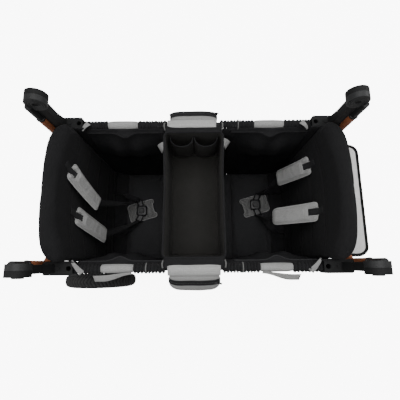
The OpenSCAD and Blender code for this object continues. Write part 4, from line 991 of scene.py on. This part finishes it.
# Gathered sleeves over the rails and hinges, padded grips and grey webbing
rail = {"y": 0.2515, "z": 0.665, "low": 0.0118, "high": {1: 0.0172, -1: 0.0190}, "gather": 0.0105,
        "padX": {"rear": 0.265, "front": 0.255}, "padHalf": 0.053, "padEnd": 0.0118, "padR": 0.0150,
        "padSeam": 0.046, "slit": 0.0003, "flapX": {"rear": 0.1085, "front": 0.0805}, "bracketX": 0.4025,
        "midHinge": (0.124, 0.156), "endHinge": (0.376, 0.4025),
        "keeperX": {"rear": 0.170, "front": 0.145}, "keeperR": 0.0170, "keeperW": 0.0042, "keeperT": 0.0016,
        "keeperFlat": (0.010, 0.0955),
        "tailY": 0.2675, "tailW": (0.008, 0.023), "tailMeanW": 0.0180,
        "nearTailX": (-0.049, 0.080), "nearTailZ": 0.6785, "farTailX": (-0.027, -0.003), "farTailZ": 0.660,
        "strapX": {("rear", -1): 0.411, ("rear", 1): 0.405, ("front", -1): 0.398, ("front", 1): 0.388},
        "strapW": (0.006, 0.020), "strapMeanW": 0.0130,
        "knots": ((0.0, 0.2250, 0.6800), (0.010, 0.2340, 0.6905), (0.022, 0.2500, 0.6860),
                  (0.035, 0.2655, 0.6770))}


def aroundRail(x, sy, radius, angle):
    return Vector((x, sy * (rail["y"] + radius * math.cos(angle)), rail["z"] + radius * math.sin(angle)))


def gathered(name, x0, x1, sy, seed):
    local = random.Random(seed)
    count = max(int(abs(x1 - x0) / rail["gather"]), 2)
    cuts = [0.0]
    for k in range(count):
        cuts.append(cuts[-1] + local.uniform(0.7, 1.3))
    cuts = [c / cuts[-1] for c in cuts]
    heights = [local.uniform(0.75, 1.15) for k in range(count)]
    tilts = [local.uniform(-0.35, 0.35) for k in range(count + 1)]
    loops, around, fine = [], 28, 6
    for k in range(count):
        for f in range(fine + (1 if k == count - 1 else 0)):
            t = f / fine
            crest = math.sin(math.pi * t)
            loop = []
            for a in range(around):
                angle = 2 * math.pi * a / around
                wobble = 0.25 * math.sin(3 * angle + k * 1.9) + 0.2 * math.sin(5 * angle + k * 3.1)
                high = rail["high"][sy] * (0.97 + 0.04 * heights[k])
                r = lerp(rail["low"], high, crest * (0.82 + 0.18 * wobble))
                shift = lerp(tilts[k], tilts[k + 1], t) * 0.004 * math.sin(angle + k)
                loop.append(aroundRail(lerp(x0, x1, lerp(cuts[k], cuts[k + 1], t)) + shift, sy, r, angle))
            loops.append(loop)
    return rings(name, loops, sleeveCloth)


def railPadLoop(s, sy, padX, t):
    x = s * (padX + t * rail["padHalf"])
    r = lerp(rail["padEnd"], rail["padR"], (1 - abs(t) ** 3.2) ** 0.55)
    loop = []
    for a in [2 * math.pi * q / 36 for q in range(36)]:
        rumple = wrinkle((x * 1.4, math.cos(a) * 0.03, math.sin(a) * 0.03), 40.0, 9.0)
        loop.append(aroundRail(x, sy, r * (1 + 0.02 * math.sin(2 * a) + 0.012 * rumple), a))
    return loop


def tailPoint(s, sy, padX, t):  # the near tails lie out over the wheels, the far ones hang down
    if sy < 0:
        return Vector((s * (padX + lerp(*rail["nearTailX"], t)),
                       sy * (rail["tailY"] + 0.014 * smooth(t * 1.3) + 0.003 * t),
                       rail["nearTailZ"] - 0.026 * t * t))
    return Vector((s * (padX + lerp(*rail["farTailX"], t)), sy * (rail["tailY"] + 0.003 * math.sin(3 * t)),
                   rail["farTailZ"] - 0.128 * t))


def hingeEnds(s, span):
    return [(s * x, 0, rail["z"]) for x in span]


for end, s in ends:
    for side, sy in sides:
        name = end + side.capitalize()
        railBody, padX = end + "_side_rails", rail["padX"][end]
        inner = gathered(name + "SleeveIn", s * rail["flapX"][end],
                         s * (padX - rail["padHalf"] - rail["slit"]), sy, 20 + s + sy * 3)
        across(inner, "liner", "middle", railBody, *hingeEnds(s, rail["midHinge"]), end + "_rail_sleeves")
        outer = gathered(name + "SleeveOut", s * (padX + rail["padHalf"] + rail["slit"]),
                         s * rail["bracketX"], sy, 40 + s + sy * 3)
        across(outer, "liner", railBody, end + "_frame", *hingeEnds(s, rail["endHinge"]))
        loops = [railPadLoop(s, sy, padX, 2 * k / 40 - 1) for k in range(41)]
        pad = rings(name + "RailPad", loops, railCloth)
        onto(pad, railBody, "melange", end + "_rail_pads")
        tree = surfaceOf(pad)
        for k, edge in enumerate((-rail["padSeam"], rail["padSeam"])):
            run = [aroundRail(s * (padX + edge), sy, 0.012, math.radians(a)) for a in range(20, 161, 8)]
            sew(name + "RailPadSeam" + str(k), tree, run, (0, 0, -1), greyThread, railBody, "melange")
        tail = [tailPoint(s, sy, padX, i / 16) for i in range(17)]
        lay = Vector((0, sy * 0.8, -0.5)) if sy < 0 else Vector((1, 0, 0))
        flag = ribbon(name + "Flag", tail, lay, lambda q: lerp(*rail["tailW"], smooth(q * 1.4)), 0.002,
                      greyWeb)
        onto(flag, railBody, "melange")
        if sy > 0:  # the far flags get meshes of their own
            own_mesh(flag)
        runLength(tail)
        rail["tailMeanW"] * runLength(tail)
        if s > 0 or sy < 0:
            hoop = [aroundRail(s * rail["keeperX"][end], sy, rail["keeperR"], 2 * math.pi * a / 28)
                    for a in range(29)]
            keeper = ribbon(name + "Keeper", hoop, Vector((1, 0, 0)), rail["keeperW"], rail["keeperT"],
                            dimWeb)
            across(keeper, "melange", "middle", railBody, *hingeEnds(s, rail["midHinge"]))
        x0 = rail["strapX"][end, sy]
        knots = [(x0 - back, y, z) for back, y, z in rail["knots"]][:4 if sy < 0 else 3]
        wrap = [Vector((s * x, sy * y, z)) for x, y, z in [along(knots, i / 14) for i in range(15)]]
        strap = ribbon(name + "CornerStrap", wrap, Vector((s * 0.80, sy * 0.60, 0.0)),
                       lambda q: lerp(*rail["strapW"], q), 0.0018, greyWeb)
        across(strap, "melange", railBody, end + "_frame", *hingeEnds(s, rail["endHinge"]))
        runLength(wrap)
        rail["strapMeanW"] * runLength(wrap)
print("stage: rail covers made")

# Console: soft bin between the rails
console = {"x": -0.014, "halfL": 0.1065, "halfW": 0.2215, "topZ": 0.674, "lowZ": 0.4682, "wall": 0.006,
           "radius": 0.018, "sway": 0.006, "rimSway": 0.0045, "rimZ": 0.6765, "rimR": 0.0036, "rimIn": 0.003,
           "floorX": 0.094, "floorY": 0.209, "floorZ": 0.4765, "cupX": (-0.058, 0.030), "cupY": 0.2135,
           "cupR": 0.041, "cupDeep": 0.034, "cupZ": (0.520, 0.650), "cupT": 0.0024, "hemR": 0.0024}


def binLoop(z, inset, sway):
    loop = roundLoop(console["x"], 0, z, console["halfL"] - inset, console["halfW"] - inset,
                     max(console["radius"] - inset, 0.006))
    moved = []
    for p in fillIn(loop, 0.012):
        side = p.x - console["x"]
        bow = 0.6 * math.cos(math.pi * p.y / (2 * console["halfW"]))
        d = sway * (bow + 0.5 * wrinkle((p.x * 2, p.y, z * 0.7), 9.0, 12.0))
        moved.append(p + Vector((-math.copysign(d, side) if abs(side) > 0.08 else 0, 0, -0.4 * d)))
    return moved


def binSway(f):
    return console["sway"] * math.sin(math.pi * min(f * 0.75, 1))


def binFloor(u, v):
    z = console["floorZ"] + 0.0020 * wrinkle((u * 4, v * 6, 1), 1.3, 14.0) + 0.004 * abs(2 * u - 1) ** 6
    return Vector((console["x"] + lerp(-console["floorX"], console["floorX"], u),
                   lerp(-console["floorY"], console["floorY"], v), z))


loops = [binLoop(lerp(console["lowZ"], console["topZ"], f), 0.010 * (1 - smooth(f * 6)), binSway(f))
         for f in [t / 12 for t in range(13)]]
loops += [binLoop(console["rimZ"], inset, console["rimSway"]) for inset in (0.0018, 0.0048)]
loops += [binLoop(lerp(console["lowZ"] + 0.006, console["topZ"] - 0.001, f),
                  console["wall"] + 0.012 * (1 - smooth(f * 6)), binSway(f))
          for f in [1 - t / 11 for t in range(12)]]
binObj = rings("consoleBin", loops, binCloth)
onto(binObj, "console", "liner", "console_bin")
rim = binLoop(console["rimZ"], console["rimIn"], console["rimSway"])
onto(tube("consoleRim", rim, console["rimR"], sleeveCloth, 8, True), "console", "liner")
base = cloth("consoleFloor", 24, 40, binFloor, binCloth)
onto(base, "console", "liner")
for k, cx in enumerate(console["cupX"]):
    def cupPoint(u, v):
        bulge = math.sin(math.pi * u)
        r = console["cupR"] + 0.002 * math.sin(math.pi * v)
        y = console["cupY"] - console["cupDeep"] * bulge ** 0.8 * (0.8 + 0.2 * v)
        z = lerp(console["cupZ"][0], console["cupZ"][1] - 0.010 * bulge, v)
        return Vector((cx + r * math.cos(math.pi * u), y, z))

    cup = cloth("cupPocket" + str(k), 32, 14, cupPoint, binCloth, console["cupT"])
    onto(cup, "console", "liner")
    hem = [cupPoint(i / 32, 1.0) for i in range(33)]
    onto(tube("cupHem" + str(k), hem, console["hemR"], sleeveCloth, 8), "console", "liner")
print("stage: console bin made")

# Zip pockets outside the console, and the grey flaps that carry it on the rails
pocket = {"half": 0.0890, "back": 0.2648, "midZ": 0.590, "zipAt": {"left": 0.265, "right": 0.290},
          "zipW": 0.022, "zipT": 0.0020, "farLift": 0.013, "waist": 0.90, "seamGap": 0.075,
          "teeth": 150, "toothL": 0.0004, "toothW": 0.0016, "toothT": 0.0011, "stagger": 0.0011,
          "profile": ((0.2648, 0.6600), (0.2720, 0.6650), (0.2810, 0.6635), (0.2900, 0.6580),
                      (0.3000, 0.6500), (0.3100, 0.6400), (0.3190, 0.6270), (0.3265, 0.6080),
                      (0.3318, 0.5860), (0.3325, 0.5620), (0.3285, 0.5400), (0.3160, 0.5230),
                      (0.2950, 0.5155), (0.2740, 0.5155), (0.2648, 0.5195))}
flap = {"half": 0.0860, "thick": 0.0028, "long": 0.046, "meanLong": 0.043, "seams": (0.2480, 0.2640),
        "seamX": 0.081, "seamZ": 0.69, "shift": {"left": 0.006, "right": 0.0},
        "in": {"left": -0.0015, "right": 0.0060}, "out": {"left": -0.0080, "right": 0.0},
        "bridgeHalf": 0.1000, "bridgeY": (0.2200, 0.2450), "bridgeZ": 0.6772, "bridgeRise": 0.0042,
        "profile": ((0.2360, 0.6760), (0.2375, 0.6795), (0.2420, 0.6822), (0.2500, 0.6838),
                    (0.2580, 0.6832), (0.2660, 0.6800), (0.2725, 0.6735), (0.2752, 0.6680))}
hanger = {"x": 0.0985, "y": 0.240, "z": 0.668, "reach": 0.015, "rise": 0.020, "swell": 0.004, "width": 0.005,
          "thick": 0.002, "flatW": 0.010}


def pocketPoint(sy, u, t, grow=0.0):
    y, z = along(pocket["profile"], t)
    e = abs(2 * u - 1)
    y = pocket["back"] + (y - pocket["back"]) * (1 - 0.26 * e ** 7) * (1 - 0.08 * e ** 3) + grow * 0.7
    z = pocket["midZ"] + (z - pocket["midZ"]) * (1 - 0.12 * e ** 8) + grow * 0.7
    z += pocket["farLift"] * max(sy, 0) * bell(t, 0.33, 0.12)
    x = console["x"] + (2 * u - 1) * pocket["half"] * lerp(pocket["waist"], 1.0, smooth(t / 0.28))
    return Vector((x, sy * (y + 0.0020 * wrinkle((x, z, sy), 26.0, 15.0)), z))


def zipTooth(verts, faces, centre, run, out):
    q = len(verts)
    for share, high in ((1.0, 0.0), (0.7, pocket["toothT"])):
        for a, b in ((-1, -1), (1, -1), (1, 1), (-1, 1)):
            lengthwise = Vector((a * share * pocket["toothL"], 0, 0))
            verts.append(centre + lengthwise + run * (b * share * pocket["toothW"]) + out * high)
    faces += [(q + 4, q + 5, q + 6, q + 7), (q, q + 1, q + 5, q + 4), (q + 1, q + 2, q + 6, q + 5),
              (q + 2, q + 3, q + 7, q + 6), (q + 3, q, q + 4, q + 7), (q, q + 3, q + 2, q + 1)]


for side, sy in sides:
    name = side + "Pocket"
    obj = rings(name, [[pocketPoint(sy, i / 40, k / 56) for k in range(57)] for i in range(41)], melangeCloth)
    subdivide(obj)
    onto(obj, "console", "melange", "console_pockets")
    tree = surfaceOf(obj)
    zipAt = pocket["zipAt"][side]
    shares = [lerp(0.02, 0.98, i / 40) for i in range(41)]
    lay = [pocketPoint(sy, f, zipAt + 0.03) - pocketPoint(sy, f, zipAt - 0.03) for f in shares]
    tape = ribbon(name + "ZipTape", [pocketPoint(sy, f, zipAt, 0.0012) for f in shares], lay,
                  pocket["zipW"], pocket["zipT"], webCloth)
    onto(tape, "console", "liner")
    verts, faces = [], []
    for i in range(pocket["teeth"]):
        f = lerp(0.04, 0.96, i / (pocket["teeth"] - 1))
        run = (pocketPoint(sy, f, zipAt + 0.02) - pocketPoint(sy, f, zipAt - 0.02)).normalized()
        step = pocket["stagger"] if i % 2 else -pocket["stagger"]
        centre = pocketPoint(sy, f, zipAt, 0.0026) + run * step
        zipTooth(verts, faces, centre, run, Vector((0, sy * 0.7, 0.7)))
    onto(makeObj(name + "ZipTeeth", verts, faces, zipTeeth, False), "console", "moulded")
    grip = pocketPoint(sy, 0.90, zipAt, 0.004)
    slider = [grip + Vector((-0.006 + 0.0015 * i, 0, 0.0004 * math.sin(i))) for i in range(9)]
    runner = tube(name + "Slider", slider, lambda q: 0.0042 * (0.6 + 0.4 * math.sin(math.pi * q)),
                  glossPlastic)
    onto(runner, "console", "moulded")
    tag = [grip + Vector((0.004 + 0.004 * i, sy * 0.0012 * i, -0.0006 * i * i)) for i in range(5)]
    onto(ribbon(name + "Puller", tag, Vector((0, sy, -0.6)), 0.007, 0.002, webCloth), "console", "liner")
    for k, t in enumerate((zipAt - pocket["seamGap"], zipAt + pocket["seamGap"])):
        run = [pocketPoint(sy, lerp(0.04, 0.96, i / 60), t) for i in range(61)]
        sew(name + "Seam" + str(k), tree, run, (0, -sy, -0.7), greyThread, "console", "melange", 0.03)

    flapX = console["x"] - flap["shift"][side]

    def flapPoint(u, v):
        y, z = along(flap["profile"], v)
        x = flapX + (2 * u - 1) * flap["half"]
        y += lerp(flap["in"][side], flap["out"][side], v)
        z += 0.0014 * wrinkle((x, y * 2, sy), 22.0, 17.0) - 0.002 * abs(2 * u - 1) ** 4
        return Vector((x, sy * y, z))

    def bridgePoint(u, v):
        y = lerp(flap["bridgeY"][0], flap["bridgeY"][1] + flap["in"][side], v)
        return Vector((console["x"] + (2 * u - 1) * flap["bridgeHalf"], sy * y,
                       flap["bridgeZ"] + flap["bridgeRise"] * v))

    sheet = cloth(side + "Flap", 44, 28, flapPoint, flapCloth, flap["thick"])
    onto(sheet, "console", "melange")
    bridge = cloth(side + "Bridge", 30, 8, bridgePoint, sleeveCloth, 0.0018)
    onto(bridge, "console", "liner")
    tree = surfaceOf(sheet)
    for k, y in enumerate(flap["seams"]):
        run = [Vector((flapX + lerp(-flap["seamX"], flap["seamX"], i / 60), sy * y, flap["seamZ"]))
               for i in range(61)]
        sew(side + "FlapSeam" + str(k), tree, run, (0, 0, -1), greyThread, "console", "melange")
    for k, reach in enumerate((-1, 1)):
        run = [Vector((flapX + reach * flap["seamX"], sy * lerp(*flap["seams"], i / 14), flap["seamZ"]))
               for i in range(15)]
        sew(side + "FlapEnd" + str(k), tree, run, (0, 0, -1), greyThread, "console", "melange")
        path = []
        for a in [math.radians(lerp(-20, 200, i / 16)) for i in range(17)]:
            path.append(Vector((console["x"] + reach * (hanger["x"] + hanger["swell"] * math.sin(a)),
                                sy * (hanger["y"] + hanger["reach"] * math.cos(a)),
                                hanger["z"] + hanger["rise"] * math.sin(a))))
        loopObj = ribbon(side + "Hanger" + str(k), path, Vector((1, 0, 0)), hanger["width"], hanger["thick"],
                         dimWeb)
        onto(loopObj, "console", "liner")
        runLength(path)
        hanger["width"] * runLength(path)

# Small grey tabs at the ends of the console
tab = {"rear": (0.163, 0.030, 0.012), "front": (0.176, 0.030, 0.010), "z": (0.650, 0.618), "wide": 0.031,
       "area": {"rear": 0.00118, "front": 0.00105}}
for end, s in ends:
    y0, far, near = tab[end]
    piece = cloth(end + "ConsoleTab", 8, 8, lambda u, v: Vector((
        console["x"] + s * (console["halfL"] - 0.001 + lerp(near, far, v) * u), y0 + tab["wide"] * v,
        lerp(*tab["z"], u * u))), greyWeb, 0.0020)
    onto(piece, "console", "melange")
print("stage: console made")

# Front bag with a grey lid and black piping
bag = {"inX": 0.4884, "outX": 0.6125, "halfY": 0.2065, "nearY": 0.2130, "lowZ": 0.331, "topZ": 0.566,
       "lid": 0.5685, "lidFrom": -0.004, "lidEdge": 0.0022, "lidCrown": 0.0060, "capX": 0.632,
       "corner": 0.030, "sag": 0.006, "pipe": 0.0060, "cornerU": 0.72, "cornerV": 0.85}


def bagLoop(z, f):
    cx = (bag["inX"] + bag["outX"]) / 2
    sag = bag["sag"] * math.sin(math.pi * f)
    squeeze = 0.012 * (1 - smooth(f * 5)) + 0.004 * smooth((f - 0.85) / 0.15)
    halfX, halfY = (bag["outX"] - bag["inX"]) / 2 - squeeze * 0.6, bag["halfY"] - squeeze
    out = []
    for p in fillIn(roundLoop(cx, 0, z, halfX, halfY, bag["corner"], 9), 0.014):
        w = 0.004 * wrinkle((p.x, p.y, z * 0.8), 14.0, 21.0) * math.sin(math.pi * f)
        push = (sag + w) if p.x > cx else 0.3 * w
        out.append(Vector((min(p.x + push * 0.5, bag["capX"]), p.y * (1 + 0.25 * w), z)))
    return out


def lidPoint(u, v, back):
    e = abs(2 * v - 1)
    if u > bag["cornerU"] and e > bag["cornerV"]:
        a, b = (u - bag["cornerU"]) / (1 - bag["cornerU"]), (e - bag["cornerV"]) / (1 - bag["cornerV"])
        k = 1 / max(math.hypot(a, b), 1.0)
        u, e = bag["cornerU"] + (1 - bag["cornerU"]) * a * k, bag["cornerV"] + (1 - bag["cornerV"]) * b * k
    x = lerp(bag["inX"] + 0.001, bag["outX"] + 0.002, u)
    y = bag["halfY"] * e if v > 0.5 else -bag["nearY"] * e
    crown = (1 - abs(2 * u - 1) ** 4) * (1 - e ** 6)
    lift = bag["lidFrom"] if back else bag["lidCrown"] * crown + bag["lidEdge"]
    return Vector((x, y, bag["lid"] + lift + 0.0010 * wrinkle((x, y, 0.3), 18.0, 23.0)))


loops = [bagLoop(lerp(bag["lowZ"], bag["topZ"], f), f) for f in [i / 18 for i in range(19)]]
body = rings("frontBag", loops, linerCloth)
subdivide(body)
onto(body, "front_frame", "liner", "front_bag")
lid = pillow("bagLid", 22, 60, lidPoint, lidCloth)
subdivide(lid)
onto(lid, "front_frame", "melange")
edge = [lidPoint(i / 16, 0.0, False) for i in range(17)]
edge += [lidPoint(1.0, i / 60, False) for i in range(1, 60)]
edge += [lidPoint(1 - i / 16, 1.0, False) for i in range(17)]
onto(tube("bagPiping", edge, bag["pipe"], pipingCloth), "front_frame", "liner")
print("stage: front bag made")

# Handle details: stitched seams and collars on the grips, rings on the hubs
handle = {"x": 0.514, "y": 0.238, "barZ": 0.615, "gripR": 0.014, "hubZ": 0.835, "postX": 0.483,
          "hubIn": 0.2342, "seamY": 0.185, "seamIn": 0.02, "collarBulge": 0.0014, "collarLow": -0.004,
          "collarTall": 0.008, "ringHalf": 0.0022,
          "rings": ((0.0262, 0.0012), (0.0190, 0.0012), (0.0112, 0.0016))}
for end, s in ends:
    tree = surfaceOf(nodes[end + "_handle_grip"])
    run = [Vector((s * (handle["x"] - handle["seamIn"]), lerp(-handle["seamY"], handle["seamY"], i / 100),
                   handle["barZ"])) for i in range(101)]
    seam = stitches(end + "GripSeam", landOn(tree, run, (s, 0, 0)), tanThread, 0.0048, 0.0022, 0.0014)
    onto(seam, end + "_handle", "wrap")
    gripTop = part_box(end + "_handle_grip")[1].z
    for side, sy in sides:
        name = end + side.capitalize()
        collar = []
        for t in [k / 8 for k in range(9)]:
            r = handle["gripR"] + handle["collarBulge"] * math.sin(math.pi * t)
            z = gripTop + handle["collarLow"] + handle["collarTall"] * t
            collar.append([Vector((s * handle["x"] + r * c, sy * handle["y"] + r * q, z))
                           for c, q in circle(28)])
        onto(rings(name + "Collar", collar, glossPlastic), end + "_handle", "moulded")
        for k, (radius, high) in enumerate(handle["rings"]):
            loops = []
            for c, q in circle(12) + [(1, 0)]:
                r = radius + handle["ringHalf"] * c
                y = sy * (handle["hubIn"] - high * q)
                loops.append([Vector((s * handle["postX"] + r * a, y, handle["hubZ"] + r * b))
                              for a, b in circle(48)])
            onto(rings(name + "HubRing" + str(k), loops, hubGrain, False), end + "_handle", "moulded")
print("stage: handles detailed")

# Camera, floor and light
camera = {"at": (0.0061, -0.2323, 1.6134), "tilt": 10.24, "roll": -0.325, "yaw": -0.171, "lens": 25.532,
          "shiftY": 0.0263}
tilt, roll, yaw = (math.radians(camera[k]) for k in ("tilt", "roll", "yaw"))
right = Vector((math.cos(yaw), math.sin(yaw), 0))
ahead = Vector((-math.sin(yaw) * math.sin(tilt), math.cos(yaw) * math.sin(tilt), -math.cos(tilt)))
upward = right.cross(ahead)
rolledRight = right * math.cos(roll) + upward * math.sin(roll)
rolledUp = upward * math.cos(roll) - right * math.sin(roll)
lens = bpy.data.cameras.new("photoCamera")
lens.sensor_width = 36.0
lens.lens = camera["lens"]
lens.shift_y = camera["shiftY"]
lens.clip_start = 0.05
lens.dof.use_dof = False
eye = bpy.data.objects.new("photoCamera", lens)
scene.collection.objects.link(eye)
turned = Matrix((rolledRight, rolledUp, -ahead)).transposed().to_4x4()
eye.matrix_world = Matrix.Translation(camera["at"]) @ turned
scene.camera = eye

studio = {"half": 8, "low": -0.0005, "glow": 8.0, "sky": 0.48}
floorMat, tree, bsdf = newMat("studioFloor")
speck = noiseTex(tree, objectCoords(tree), 2.0, 2.0)
tree.links.new(mixColor(tree, speck, (0.90, 0.90, 0.90, 1), (0.93, 0.93, 0.93, 1)), bsdf.inputs["Base Color"])
bsdf.inputs["Roughness"].default_value = 0.9
bsdf.inputs["Emission Color"].default_value = (1, 1, 1, 1)
bsdf.inputs["Emission Strength"].default_value = studio["glow"]
corners = [(x * studio["half"], y * studio["half"], studio["low"])
           for x, y in ((-1, -1), (1, -1), (1, 1), (-1, 1))]
ground = makeObj("studioFloor", corners, [(0, 1, 2, 3)], floorMat, False)
ground.visible_diffuse = False
ground.visible_glossy = False
world = bpy.data.worlds.new("studio")
scene.world = world
world.use_nodes = True
world.node_tree.nodes["Background"].inputs[0].default_value = (1, 1, 1, 1)
world.node_tree.nodes["Background"].inputs[1].default_value = studio["sky"]
lamps = {"top": ((0.0, 0.3, 3.2), 2.8, 75.0, (0, 0, 0.3)),
         "left": ((-2.6, -1.2, 2.2), 1.8, 26.0, (0, 0, 0.5)),
         "right": ((2.6, 1.0, 2.2), 1.8, 30.0, (0, 0, 0.5))}
for name, (at, size, power, aim) in lamps.items():
    data = bpy.data.lights.new(name + "Lamp", "AREA")
    data.size = size
    data.energy = power
    lamp = bpy.data.objects.new(name + "Lamp", data)
    scene.collection.objects.link(lamp)
    lamp.location = at
    lamp.rotation_euler = (Vector(aim) - Vector(at)).to_track_quat("-Z", "Y").to_euler()
print("stage: camera and light set")
